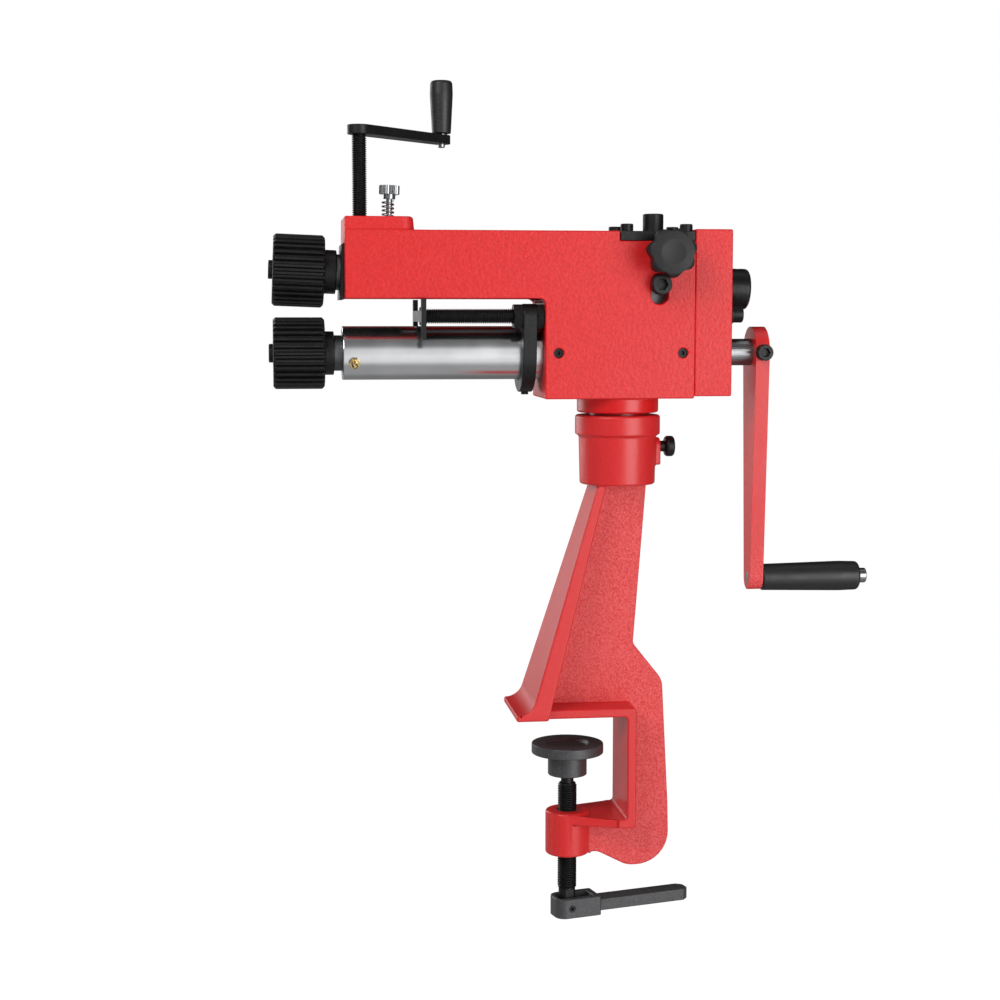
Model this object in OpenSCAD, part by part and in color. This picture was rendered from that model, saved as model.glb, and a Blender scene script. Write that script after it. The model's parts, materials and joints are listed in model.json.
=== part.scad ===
// Hand-cranked bead roller with its bench clamp, in millimetres.
// The origin is on the underside of the upper jaw, on the clamp screw's axis.
// X runs from the rolls to the crank, Y from the operator's side to the far side, Z up.

/* [Bench clamp] */
// Opening between the jaws
jaw_gap = 86; // [76:1:100]
// Clamp screw axis to the back of the jaws
jaw_reach = 44.7; // [40:0.1:52]
// Width of the jaws
jaw_w = 66; // [58:1:76]
// Clamp screw axis to the front of the lip
lip_reach = 48.2; // [44:0.1:56]
// Width of the lip
lip_w = 82; // [76:1:96]
// Thickness of the jaw flanges
jaw_t = 7.5; // [6:0.5:9]
// Diameter of the screw boss
boss_d = 36.6; // [32:0.2:42]
// Height of the screw boss
boss_h = 37; // [30:1:42]
// Diameter of the clamp screw thread
clamp_d = 16; // [12:1:18]
// Diameter of the clamp pad
pad_d = 60; // [48:1:66]
// Jaw underside to the top of the pad
pad_drop = 27; // [22:1:34]
// Length of the clamp lever from the screw axis
lever_l = 111; // [90:1:125]

/* [Stand] */
// Thickness of the web
web_t = 10; // [8:1:13]
// Thickness of the column flange
column_t = 7; // [6:0.5:9]
// Width of the column flange at the socket
column_top_w = 41; // [34:1:48]
// Clamp screw axis to the socket axis
socket_x = 40.8; // [38:0.1:44]
// Height of the socket mouth over the jaw
socket_z = 247; // [235:1:260]
// Length of the socket
socket_h = 57; // [50:1:62]
// Diameter of the socket
socket_d = 64; // [60:1:68]
// Diameter of the collar round the mouth
collar_d = 70; // [68:1:76]
// Height of the collar
collar_h = 15.5; // [12:0.5:18]
// Diameter of the head's spigot
spigot_d = 46; // [40:1:48]

/* [Head] */
// Width of the head casting
head_w = 70; // [66:1:78]
// Height of the gearbox
head_h = 134.2; // [130:0.2:140]
// Length of the gearbox without its cover
gearbox_l = 121.9; // [114:0.1:130]
// Socket axis to the front of the gearbox
gearbox_lead = 65.4; // [60:0.1:70]
// Length of the arm in front of the gearbox
arm_l = 159.4; // [140:0.2:200]
// Height of the arm
arm_h = 53.9; // [52:0.1:60]
// Width of the slot inside the arm
slot_w = 52; // [51:1:56]
// Width of the pocket inside the gearbox
well_w = 40; // [38:1:42]
// Thickness of the metal above the slot
roof_t = 9.9; // [9:0.1:11]
// Length of the raised platform on the arm
platform_l = 54.4; // [48:0.2:60]
// Height of the raised platform
platform_h = 10.6; // [8:0.2:14]
// Depth of the gear cover
cover_t = 30.7; // [29:0.1:36]
// Diameter of the polished barrel
barrel_d = 43.2; // [40:0.2:46]

/* [Shafts and rolls] */
// Gearbox underside to the lower shaft
shaft_rise = 36.8; // [35:0.2:40]
// Diameter of both shafts
shaft_d = 22; // [18:1:24]
// Rise of the upper shaft towards the rolls, in degrees, with the rolls apart
rocker_angle = 2.22; // [1.8:0.02:2.3]
// Diameter of the rolls over their ridges
roll_d = 57.6; // [52:0.2:60]
// Width of the rolls
roll_w = 41; // [30:1:50]
// Number of ridges round a roll
ridge_count = 30; // [24:2:36]
// Depth of the grooves between the ridges
ridge_depth = 3.4; // [2.6:0.1:3.8]
// Module of the gears
gear_module = 2; // [1.9:0.05:2.1]
// Number of teeth on each gear
gear_teeth = 26; // [24:2:26]
// Width of the gears
gear_w = 20; // [16:1:21]

/* [Cranks] */
// Shaft centre to grip centre on the main crank
crank_l = 188.5; // [160:0.5:200]
// Thickness of the main crank
crank_t = 11.5; // [9:0.5:14]
// Diameter of the main crank's hub
crank_hub_d = 42; // [38:1:46]
// Length of the main grip
grip_l = 84; // [70:1:95]
// Diameter of the main grip
grip_d = 25; // [22:1:30]
// Diameter of the pressure screw
press_d = 12; // [10:1:12]
// Height of the pressure crank over the platform
press_rise = 66; // [58:1:72]
// Pressure screw to grip centre
press_crank_l = 107; // [90:1:118]
// Length of the pressure grip
press_grip_l = 44; // [38:1:50]

/* [Depth stop] */
// Diameter of the threaded rod
rod_d = 12; // [10:1:12]
// Length of the threaded rod
rod_l = 93.5; // [90:0.5:110]
// Distance between the two fork bars
fork_w = 78; // [74:1:84]
// Height of the fork bars
fork_h = 32; // [24:1:34]

/* [Hidden] */
$fn = 64;

// Clearances: a running fit, a still fit and the gap beside a moving face, and the cuts' overrun
run_fit = 0.05;
still_fit = 0.02;
side_gap = 0.3;
over = 1;

// Heights and places that the castings share
boss_proud = 2;
boss_top_z = boss_proud - jaw_gap;
boss_bottom_z = boss_top_z - boss_h;
socket_bottom_z = socket_z - socket_h;
swivel_gap = 2;
spigot_flange_h = 12.2;
head_bottom_z = socket_z + swivel_gap + spigot_flange_h;
head_top_z = head_bottom_z + head_h;
arm_bottom_z = head_top_z - arm_h;
platform_top_z = head_top_z + platform_h;
roof_z = head_top_z - roof_t;
gearbox_front_x = socket_x - gearbox_lead;
gearbox_back_x = gearbox_front_x + gearbox_l;
arm_front_x = gearbox_front_x - arm_l;
cover_back_x = gearbox_back_x + cover_t;
side_wall = (head_w - slot_w) / 2;
shaft_z = head_bottom_z + shaft_rise;
shaft_r = shaft_d / 2;

// The upper shaft's pivot, over the lower shaft by the gears' pitch and some slack
mesh_slack = 2.7;
pivot_inset = 29.3;
pivot_x = gearbox_back_x - pivot_inset;
pivot_z = shaft_z + gear_module * gear_teeth + mesh_slack;

// Stations along the shafts, measured from the arm's front face
roll_standoff = 15.5;
roll_back_x = arm_front_x - roll_standoff;
roll_front_x = roll_back_x - roll_w;
spacer_d = 35;
upper_spacer_l = 9.5;
lower_spacer_l = 7.5;
block_proud = 3;
barrel_proud = 1.5;
bush_d = 28.6;

// Two points and a corner radius at the middle one give a tangent arc, in fewer steps if it is small
arc_steps = 10;
small_arc_steps = 4;
small_arc_r = 4;
function unit(v) = v / norm(v);
function turn_of(a) = a > 180 ? a - 360 : a < -180 ? a + 360 : a;
function corner(a, b, c) =
    let (
        here = [b.x, b.y],
        u = unit([a.x, a.y] - here),
        v = unit([c.x, c.y] - here),
        half = acos(u * v) / 2,
        centre = here + unit(u + v) * b[2] / sin(half),
        from = here + u * b[2] / tan(half) - centre,
        to = here + v * b[2] / tan(half) - centre,
        start = atan2(from.y, from.x),
        sweep = turn_of(atan2(to.y, to.x) - start),
        steps = b[2] < small_arc_r ? small_arc_steps : arc_steps
    )
    b[2] == 0 ? [here] : [for (k = [0:steps]) centre + b[2] *
        [cos(start + sweep * k / steps), sin(start + sweep * k / steps)]];
// A closed outline from points of x, y and corner radius
function rounded(p) = [for (i = [0:len(p) - 1])
    each corner(p[(i + len(p) - 1) % len(p)], p[i], p[(i + 1) % len(p)])];
// Two circles joined by their tangents, from the origin along +X
link_steps = 24;
function link_outline(r1, r2, l) = let (lean = acos((r1 - r2) / l)) [
    for (k = [0:link_steps]) let (a = lean + (360 - 2 * lean) * k / link_steps)
        r1 * [cos(a), sin(a)],
    for (k = [0:link_steps]) let (a = -lean + 2 * lean * k / link_steps)
        [l, 0] + r2 * [cos(a), sin(a)]];

// Extrudes an X-Z outline evenly to both sides of the middle plane
module side_plate(points, w) {
    rotate([90, 0, 0])
        linear_extrude(w, center = true)
            polygon(points);
}

// A bar along X, from x0 to x1, on the axis at the given height
module x_rod(x0, x1, r, z = 0, y = 0) {
    translate([x0, y, z]) rotate([0, 90, 0]) cylinder(x1 - x0, r = r);
}

// A bar along Y, from y0 to y1
module y_rod(y0, y1, r, x = 0, z = 0) {
    translate([x, y1, z]) rotate([90, 0, 0]) cylinder(y1 - y0, r = r);
}

module block(low, high) {
    translate(low) cube(high - low);
}

// A revolved piece along +Z from points of radius, height and corner radius
module turned(points) {
    rotate_extrude() polygon(rounded(points));
}

// A socket cap screw along -Z from its seat at the origin
cap_chamfer_share = 0.06;
socket_across_share = 0.52;
socket_depth_share = 0.5;
module cap_screw(head_d, head_t, thread_d, thread_l) {
    difference() {
        turned([[0, 0, 0], [head_d / 2, 0, 0], [head_d / 2, head_t, head_d * cap_chamfer_share],
            [0, head_t, 0]]);
        translate([0, 0, head_t * (1 - socket_depth_share)])
            cylinder(head_t, d = head_d * socket_across_share * 2 / sqrt(3), $fn = 6);
    }
    translate([0, 0, -thread_l]) cylinder(thread_l, d = thread_d);
}

// Places a child in the rocking frame: its origin is the pivot, with X along the upper shaft
module rocking() {
    translate([pivot_x, 0, pivot_z]) rotate([0, rocker_angle, 0]) children();
}

// Stand casting: a jaw frame with a mid-plane web, a flanged column and a socket
column_back_share = 0.556;
column_front_share = 0.76;
column_foot_x = -36.2;
lip_t = 5;
lip_fillet = 15;
throat_fillet = 3;
waist = [54.3, 56.5];
waist_r = 7;
shoulder = [79.4, 25];
shoulder_r = 18;
back_x = 85;
back_drop = 79;
back_r = 60;
heel_x = 86.4;
heel_r = 28;
foot_drop = 11.8;
foot_x = 50;
foot_r = 20;
foot_rise_x = 25;
lock_z_drop = 26.5;
lock_boss_d = 15;
lock_boss_reach = 35.2;
lock_boss_rise = 15;
lock_d = 9;
socket_floor_t = 5;
web_top_lap = 8;
column_top_z = socket_bottom_z + web_top_lap;
column_top_x = socket_x - socket_d / 2 * column_back_share;
module stand_web() {
    half = column_t / 2;
    side_plate(rounded([
        [column_top_x + half, column_top_z, 0],
        [column_foot_x + half, lip_t, 0],
        [column_foot_x + half, jaw_t / 2, 0],
        [jaw_reach + jaw_t / 2, jaw_t / 2, 0],
        [jaw_reach + jaw_t / 2, -jaw_gap - jaw_t / 2, 0],
        [boss_d / 4, -jaw_gap - jaw_t / 2, 0],
        [boss_d / 4, boss_bottom_z, 0],
        [foot_rise_x, boss_bottom_z + boss_proud / 2, boss_d / 3],
        [foot_x, boss_bottom_z - foot_drop, foot_r],
        [heel_x, boss_bottom_z - foot_drop, heel_r],
        [back_x, -back_drop, back_r],
        [shoulder.x, shoulder.y, shoulder_r],
        [waist.x, waist.y, waist_r],
        [socket_x + socket_d / 2 * column_front_share, column_top_z, 0]]), web_t);
}
// Its side view, cut to the taper of its front view
module column_flange() {
    flange_top_z = column_top_z + web_top_lap;
    intersection() {
        side_plate(rounded([
            [column_top_x, column_top_z, 0],
            [column_foot_x, lip_t, lip_fillet],
            [-lip_reach, lip_t, 0],
            [-lip_reach, 0, 0],
            [column_foot_x + 2 * column_t, 0, 0],
            [column_top_x + column_t, column_top_z, 0]]), lip_w);
        rotate([90, 0, 90]) linear_extrude(2 * (lip_reach + socket_x), center = true)
            polygon([[-lip_w / 2, -over], [-lip_w / 2, lip_t], [-column_top_w / 2, flange_top_z],
                [column_top_w / 2, flange_top_z], [lip_w / 2, lip_t], [lip_w / 2, -over]]);
    }
}
module jaw_frame() {
    side_plate(rounded([
        [column_foot_x + column_t, 0, 0], [column_foot_x + column_t, jaw_t, 0],
        [jaw_reach + jaw_t, jaw_t, throat_fillet],
        [jaw_reach + jaw_t, -jaw_gap - jaw_t, throat_fillet],
        [jaw_reach - jaw_t, -jaw_gap - jaw_t, 0],
        [jaw_reach - jaw_t, -jaw_gap, 0],
        [jaw_reach, -jaw_gap, throat_fillet],
        [jaw_reach, 0, throat_fillet]]), jaw_w);
    translate([0, 0, -jaw_gap - jaw_t]) linear_extrude(jaw_t)
        polygon([[0, -boss_d / 2], [jaw_reach - jaw_t / 2, -jaw_w / 2],
            [jaw_reach - jaw_t / 2, jaw_w / 2], [0, boss_d / 2]]);
}
module stand_casting() {
    lock_z = socket_z - lock_z_drop;
    color("#c8151b") difference() {
        union() {
            stand_web();
            column_flange();
            jaw_frame();
            translate([0, 0, boss_bottom_z])
                turned([[0, 0, 0], [boss_d / 2, 0, boss_proud], [boss_d / 2, boss_h, boss_proud],
                    [0, boss_h, 0]]);
            translate([socket_x, 0, socket_bottom_z])
                turned([[0, 0, 0], [socket_d / 2 - swivel_gap / 2, 0, swivel_gap],
                    [socket_d / 2, socket_h - collar_h - swivel_gap, swivel_gap],
                    [collar_d / 2, socket_h - collar_h, swivel_gap / 2],
                    [collar_d / 2, socket_h, swivel_gap], [0, socket_h, 0]]);
            for (dz = [0, -lock_boss_rise])
                x_rod(socket_x, socket_x + lock_boss_reach, lock_boss_d / 2, lock_z + dz);
            block([socket_x, -lock_boss_d / 2, lock_z - lock_boss_rise],
                [socket_x + lock_boss_reach, lock_boss_d / 2, lock_z]);
        }
        translate([socket_x, 0, socket_bottom_z + socket_floor_t])
            cylinder(socket_h, r = spigot_d / 2 + run_fit);
        x_rod(socket_x, socket_x + lock_boss_reach + over, lock_d / 2 + run_fit, lock_z);
        translate([0, 0, boss_bottom_z - over]) cylinder(boss_h + 2 * over, r = clamp_d / 2 + run_fit);
    }
}

// Lock screw in the socket's side, bearing on the spigot
lock_head_d = 17;
lock_head_t = 7.8;
lock_neck_l = 4.5;
lock_head_round = 2.4;
module socket_lock_screw() {
    color("#1b1b1c") translate([socket_x, 0, socket_z - lock_z_drop]) rotate([0, 90, 0]) {
        translate([0, 0, spigot_d / 2 + run_fit + side_gap])
            cylinder(lock_boss_reach + lock_neck_l - spigot_d / 2 - run_fit - side_gap, d = lock_d);
        translate([0, 0, lock_boss_reach + lock_neck_l])
            turned([[0, 0, 0], [lock_head_d / 2, 0, lock_head_round],
                [lock_head_d / 2, lock_head_t, lock_head_round], [0, lock_head_t, 0]]);
    }
}

// Head casting: gearbox, slotted arm, raised platform and the flange over the socket
edge_r = 1.5;
throat_r = 5;
platform_r = 5;
spigot_flange_d = 67;
spigot_seat_l = 2;
spigot_low_z = socket_bottom_z + socket_floor_t + side_gap;
spigot_flange_z = head_bottom_z - spigot_flange_h;
well_floor = 24.7;
well_l = 52;
floor_relief = 3;
plate_l = 61.5;
plate_t = 7.7;
window_margin = 9;
trunnion_slot_w = 14;
trunnion_slot_drop = 8.7;
trunnion_slot_rise = 2;
bearing_hole_d = 8;
bearing_hole_front = 10.8;
bearing_hole_back = 9.6;
barrel_socket_l = 60;
rear_bush_l = 24;
star_x = 72.7;
star_rise = 24.9;
star_stud_d = 8;
platform_screw_x = 13.7;
spring_x = 37.5;
spring_seat_d = 12.6;
spring_seat_depth = 6;
spring_stud_d = 5;
cover_screw_y = 27;
cover_screw_rise = 31;
cover_screw_d = 8;
cover_screw_l = 18;
module along_y_slot(x, z, w, drop, rise, y0, y1) {
    y_rod(y0, y1, w / 2, x, z - drop);
    y_rod(y0, y1, w / 2, x, z + rise);
    block([x - w / 2, y0, z - drop], [x + w / 2, y1, z + rise]);
}
module head_casting() {
    well_front_x = gearbox_back_x - well_l;
    color("#c8151b") difference() {
        union() {
            side_plate(rounded([
                [arm_front_x, arm_bottom_z, edge_r],
                [gearbox_front_x, arm_bottom_z, throat_r],
                [gearbox_front_x, head_bottom_z, edge_r],
                [gearbox_back_x, head_bottom_z, edge_r],
                [gearbox_back_x, head_top_z, 0],
                [arm_front_x + platform_l + platform_r, head_top_z, platform_r],
                [arm_front_x + platform_l, platform_top_z, platform_r],
                [arm_front_x, platform_top_z, edge_r]]), head_w);
            translate([socket_x, 0, spigot_flange_z])
                turned([[0, 0, 0], [spigot_flange_d / 2, 0, swivel_gap],
                    [spigot_flange_d / 2, spigot_flange_h + over, 0], [0, spigot_flange_h + over, 0]]);
        }
        translate([socket_x, 0, spigot_flange_z - over])
            cylinder(spigot_seat_l + still_fit + over, r = spigot_d / 2 + still_fit);
        block([arm_front_x - over, -slot_w / 2, arm_bottom_z - over],
            [gearbox_front_x, slot_w / 2, roof_z]);
        block([gearbox_front_x - over, -well_w / 2, arm_bottom_z - floor_relief],
            [gearbox_back_x + over, well_w / 2, roof_z]);
        block([well_front_x, -well_w / 2, pivot_z - well_floor],
            [gearbox_back_x + over, well_w / 2, roof_z]);
        block([gearbox_back_x - plate_l - side_gap, -head_w / 2 - over, head_top_z - plate_t],
            [gearbox_back_x + over, head_w / 2 + over, head_top_z + over]);
        block([gearbox_back_x - plate_l + window_margin, -well_w / 2, roof_z - over],
            [gearbox_back_x - window_margin, well_w / 2, head_top_z]);
        along_y_slot(pivot_x, pivot_z, trunnion_slot_w, trunnion_slot_drop, trunnion_slot_rise,
            -head_w / 2 - over, head_w / 2 + over);
        x_rod(gearbox_front_x - over, gearbox_front_x + barrel_socket_l, barrel_d / 2 + still_fit,
            shaft_z);
        x_rod(gearbox_front_x, gearbox_back_x + over, bush_d / 2 + still_fit, shaft_z);
        for (x = [gearbox_front_x + bearing_hole_front, gearbox_back_x - bearing_hole_back])
            y_rod(-head_w / 2 - over, 0, bearing_hole_d / 2 + still_fit, x, shaft_z);
        y_rod(-head_w / 2 - over, 0, star_stud_d / 2 + run_fit, star_x, pivot_z + star_rise);
        translate([press_x, 0, arm_bottom_z]) cylinder(head_h, d = press_d + 2 * run_fit);
        translate([stud_hole_x, 0, platform_top_z - spring_seat_depth])
            cylinder(head_h, d = spring_seat_d);
        translate([stud_hole_x, 0, arm_bottom_z])
            cylinder(head_h, r = spring_stud_d / 2 + stud_sway + 2 * side_gap);
        for (s = [-1, 1]) {
            for (x = bridge_screw_xs) translate([x, s * bridge_screw_y,
                head_top_z - plate_t - bridge_screw_l - over])
                cylinder(head_h, d = bridge_screw_d + 2 * still_fit);
            x_rod(gearbox_back_x - cover_screw_l - over, gearbox_back_x + over,
                cover_screw_d / 2 + still_fit, shaft_z + cover_screw_rise, s * cover_screw_y);
        }
    }
}

// Spigot, a turned post let into the flange and turning in the stand's socket
module head_spigot() {
    color("#8e8f91") translate([socket_x, 0, spigot_low_z])
        cylinder(spigot_flange_z + spigot_seat_l - spigot_low_z, d = spigot_d);
}

// Gear cover, hollow, with an upright slot for the rocking shaft
cover_rise = 1.8;
cover_wall = 5;
cover_rear_wall = 5.2;
gear_room = 1.5;
cover_boss_d = 12;
cover_slot_clear = 0.8;
shaft_sink = 2.8;
module rear_cover() {
    gear_r = gear_module * (gear_teeth / 2 + 1);
    low = [gearbox_back_x, -head_w / 2, head_bottom_z + cover_rise];
    high = [cover_back_x, head_w / 2, head_top_z + cover_rise];
    shaft_at_cover = pivot_z - (cover_back_x - pivot_x) * tan(rocker_angle);
    color("#c8151b") difference() {
        side_plate(rounded([[low.x, low.z, 0], [high.x, low.z, edge_r],
            [high.x, high.z, edge_r], [low.x, high.z, 0]]), head_w);
        difference() {
            block([low.x - over, cover_wall - head_w / 2, shaft_z - gear_r - gear_room],
                [high.x - cover_rear_wall, head_w / 2 - cover_wall, high.z - 2 * cover_wall]);
            for (s = [-1, 1]) x_rod(low.x - 2 * over, high.x, cover_boss_d / 2,
                shaft_z + cover_screw_rise, s * cover_screw_y);
        }
        for (s = [-1, 1]) x_rod(low.x - over, high.x + over, cover_screw_d / 2 + still_fit,
            shaft_z + cover_screw_rise, s * cover_screw_y);
        x_rod(low.x, high.x + over, bush_d / 2 + still_fit, shaft_z);
        for (dz = [0, shaft_sink]) x_rod(low.x, high.x + over, shaft_r + cover_slot_clear,
            shaft_at_cover + dz);
        block([low.x, -shaft_r - cover_slot_clear, shaft_at_cover],
            [high.x + over, shaft_r + cover_slot_clear, shaft_at_cover + shaft_sink]);
    }
}
cover_head_d = 13;
cover_head_t = 8;
cover_washer_d = 15;
cover_washer_t = 2;
module cover_screws() {
    color("#202021") for (s = [-1, 1])
        translate([cover_back_x, s * cover_screw_y, shaft_z + cover_screw_rise]) rotate([0, 90, 0]) {
            cylinder(cover_washer_t, d = cover_washer_d);
            translate([0, 0, cover_washer_t]) cap_screw(cover_head_d, cover_head_t, cover_screw_d,
                cover_washer_t + cover_t + cover_screw_l);
        }
}

// Barrel round the lower shaft, with its bushes, set screws and grease nipple
nipple_x = 9.2;
nipple_drop = 7;
nipple_hex = 8;
nipple_hex_t = 4;
nipple_d = 5;
nipple_shares = [[0.5, 0], [0.4, 0.5], [0.5, 0.9], [0.2, 1.3]];
module lower_barrel() {
    front = arm_front_x - barrel_proud;
    bore_r = shaft_r + 2 * cover_slot_clear;
    color("#d7d9dc") difference() {
        union() {
            translate([front, 0, shaft_z]) rotate([0, 90, 0])
                turned([[0, 0, 0], [barrel_d / 2, 0, over], [barrel_d / 2,
                    gearbox_front_x + barrel_socket_l - front - side_gap, 0],
                    [0, gearbox_front_x + barrel_socket_l - front - side_gap, 0]]);
        }
        x_rod(front - over, gearbox_back_x, bore_r, shaft_z);
        x_rod(front - over, front + front_bush_l, bush_d / 2 + still_fit, shaft_z);
        translate([front + nipple_x, 0, shaft_z]) rotate([nipple_tilt, 0, 0])
            y_rod(-barrel_d, 0, nipple_d / 2 + still_fit);
    }
}
front_bush_l = 32;
nipple_tilt = asin(nipple_drop / (barrel_d / 2));
module grease_nipple() {
    color("#c9a24a") translate([arm_front_x - barrel_proud + nipple_x, 0, shaft_z])
        rotate([nipple_tilt, 0, 0]) rotate([90, 0, 0]) {
            translate([0, 0, barrel_d / 2 - nipple_d]) cylinder(nipple_d + over, d = nipple_d);
            translate([0, 0, barrel_d / 2 + still_fit])
                cylinder(nipple_hex_t, d = nipple_hex * 2 / sqrt(3), $fn = 6);
            translate([0, 0, barrel_d / 2 + nipple_hex_t]) turned([[0, 0, 0],
                for (s = nipple_shares) [nipple_d * s[0], nipple_d * s[1], 0],
                [0, nipple_d * nipple_shares[3][1], 0]]);
        }
}
module bush(x0, x1, z) {
    difference() {
        x_rod(x0, x1, bush_d / 2, z);
        x_rod(x0 - over, x1 + over, shaft_r + run_fit, z);
    }
}
module barrel_front_bush() {
    color("#8d8f92") bush(roll_back_x + lower_spacer_l + side_gap,
        arm_front_x - barrel_proud + front_bush_l - side_gap, shaft_z);
}
module lower_rear_bush() {
    color("#a8813e") bush(gearbox_back_x - rear_bush_l, gearbox_back_x - side_gap, shaft_z);
}
module cover_bush() {
    color("#a8813e") bush(cover_back_x - cover_rear_wall, cover_back_x - side_gap, shaft_z);
}
set_screw_sink = 3;
module bearing_set_screws() {
    reach = [barrel_d / 2, bush_d / 2];
    xs = [gearbox_front_x + bearing_hole_front, gearbox_back_x - bearing_hole_back];
    color("#151516") for (i = [0, 1]) difference() {
        y_rod(set_screw_sink - head_w / 2, -reach[i] - still_fit, bearing_hole_d / 2, xs[i], shaft_z);
        translate([xs[i], 2 * set_screw_sink - head_w / 2, shaft_z]) rotate([90, 0, 0])
            cylinder(2 * set_screw_sink, d = bearing_hole_d / 2, $fn = 6);
    }
}

// Bridge plate over the rear block, its screws and the screw that sets the pivot's height
bridge_head_d = 10;
bridge_head_t = 6;
bridge_screw_d = 6;
bridge_screw_l = 12;
bridge_screw_y = 25.5;
bridge_screw_inset = 6.8;
bridge_screw_xs = [gearbox_back_x - plate_l + bridge_screw_inset,
    gearbox_back_x - bridge_head_d / 2 - over];
adjust_d = 10;
adjust_head_d = 16.5;
adjust_head_t = 15;
adjust_shift = 1.5;
module bridge_plate() {
    color("#262627") difference() {
        block([gearbox_back_x - plate_l, -head_w / 2, head_top_z - plate_t],
            [gearbox_back_x - side_gap, head_w / 2, head_top_z]);
        for (s = [-1, 1], x = bridge_screw_xs) translate([x, s * bridge_screw_y, roof_z])
            cylinder(head_h, d = bridge_screw_d + 2 * still_fit);
        translate([pivot_x + adjust_shift, 0, roof_z]) cylinder(head_h, d = adjust_d + 2 * run_fit);
    }
}
module bridge_screws() {
    color("#1b1b1c") for (s = [-1, 1], x = bridge_screw_xs)
        translate([x, s * bridge_screw_y, head_top_z])
            cap_screw(bridge_head_d, bridge_head_t, bridge_screw_d, plate_t + bridge_screw_l);
}
module pivot_adjust_screw() {
    tip_z = pivot_z + block_half_h + side_gap;
    color("#1b1b1c") translate([pivot_x + adjust_shift, 0, head_top_z + side_gap])
        cap_screw(adjust_head_d, adjust_head_t, adjust_d, head_top_z + side_gap - tip_z);
}

// Star knob that locks the rear block, on a steel stud
star_d = 40;
star_lobes = 7;
star_lobe_share = 0.085;
star_t = 20;
star_standoff = 10;
star_round = 5;
star_turn = 17;
star_steps = 84;
star_hub_share = 0.42;
module star_knob() {
    mean_r = star_d / 2 / (1 + star_lobe_share);
    color("#1f1f20") translate([star_x, -head_w / 2 - star_standoff, pivot_z + star_rise])
        rotate([90, 0, 0]) difference() {
            union() {
                intersection() {
                    translate([0, 0, star_t * (1 - star_hub_share) / 2]) linear_extrude(star_t)
                        polygon([for (k = [0:star_steps - 1]) let (a = 360 * k / star_steps)
                            mean_r * (1 + star_lobe_share * cos(star_lobes * (a - star_turn)))
                            * [cos(a), sin(a)]]);
                    turned([[0, 0, 0], [star_d / 2, 0, 0],
                        [star_d / 2, star_t - star_round / 3, star_round],
                        [star_d / 4, star_t, star_round], [0, star_t - star_round / 3, 0]]);
                }
                cylinder(star_t / 2, r = star_d / 2 * star_hub_share);
            }
            translate([0, 0, -over]) cylinder(star_t / 2, d = star_stud_d + 2 * still_fit);
        }
}
module star_knob_stud() {
    color("#c9cbce") y_rod(-head_w / 2 - star_standoff - star_t / 4, -well_w / 2 - over,
        star_stud_d / 2, star_x, pivot_z + star_rise);
}

// Rocking bearing blocks that carry the upper shaft, in the pivot's frame
block_half_h = 22;
block_foot = 17.5;
block_l = 52;
block_w = slot_w - 2 * side_gap;
rear_block_l = 40;
button_pocket_d = 17;
button_pocket = 6;
block_front = arm_front_x - block_proud - pivot_x;
module front_block() {
    press_u = arm_front_x + platform_screw_x - pivot_x;
    color("#1d1d1e") rocking() difference() {
        union() {
            block([block_front + block_proud, -block_w / 2, -block_foot],
                [block_front + block_l, block_w / 2, block_half_h]);
            block([block_front, -block_w / 2, -block_half_h],
                [block_front + block_proud, block_w / 2, block_half_h]);
        }
        x_rod(block_front - over, block_front + block_l + over, bush_d / 2 + still_fit);
        translate([press_u, 0, block_half_h - button_pocket]) cylinder(block_half_h, d = button_pocket_d);
        translate([stud_u, 0, shaft_r])
            cylinder(block_half_h, d = spring_stud_d + 2 * still_fit);
    }
}
module front_block_bush() {
    color("#8d8f92") rocking() bush(roll_back_x + upper_spacer_l + side_gap - pivot_x,
        block_front + block_l, 0);
}
module rear_block() {
    color("#6c6e70") rocking() difference() {
        block([-rear_block_l / 2, side_gap - well_w / 2, -block_half_h],
            [rear_block_l / 2, well_w / 2 - side_gap, block_half_h]);
        x_rod(-rear_block_l, rear_block_l, bush_d / 2 + still_fit);
        y_rod(-slot_w, slot_w, trunnion_d / 2 + still_fit);
    }
}
module rear_block_bush() {
    color("#a8813e") rocking() bush(-rear_block_l / 2, rear_block_l / 2, 0);
}
trunnion_d = 10;
trunnion_head_d = 16;
trunnion_head_t = 10;
module trunnion_screws() {
    color("#303132") rocking() for (s = [0, 180]) rotate([0, 0, s])
        translate([0, -head_w / 2 - side_gap, 0]) rotate([90, 0, 0])
            cap_screw(trunnion_head_d, trunnion_head_t, trunnion_d,
                head_w / 2 + side_gap - bush_d / 2 - side_gap);
}

// Return spring on its knurled stud, which lifts the front block
knurl_d = 16.5;
knurl_t = 7.1;
knurl_count = 28;
knurl_share = 0.03;
knurl_rise = 18.7;
neck_d = 10;
neck_l = 3.6;
wire_d = 1.4;
spring_d = 10.6;
spring_turns = 6;
curl_rings = 8;
wire_sides = 6;
// The knob's seat over the pivot, then in the rocking frame
stud_x = arm_front_x + spring_x;
stud_seat_z = platform_top_z + knurl_rise;
stud_u = (stud_x - pivot_x) * cos(rocker_angle) - (stud_seat_z - pivot_z) * sin(rocker_angle);
stud_h = (stud_x - pivot_x) * sin(rocker_angle) + (stud_seat_z - pivot_z) * cos(rocker_angle);
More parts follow.
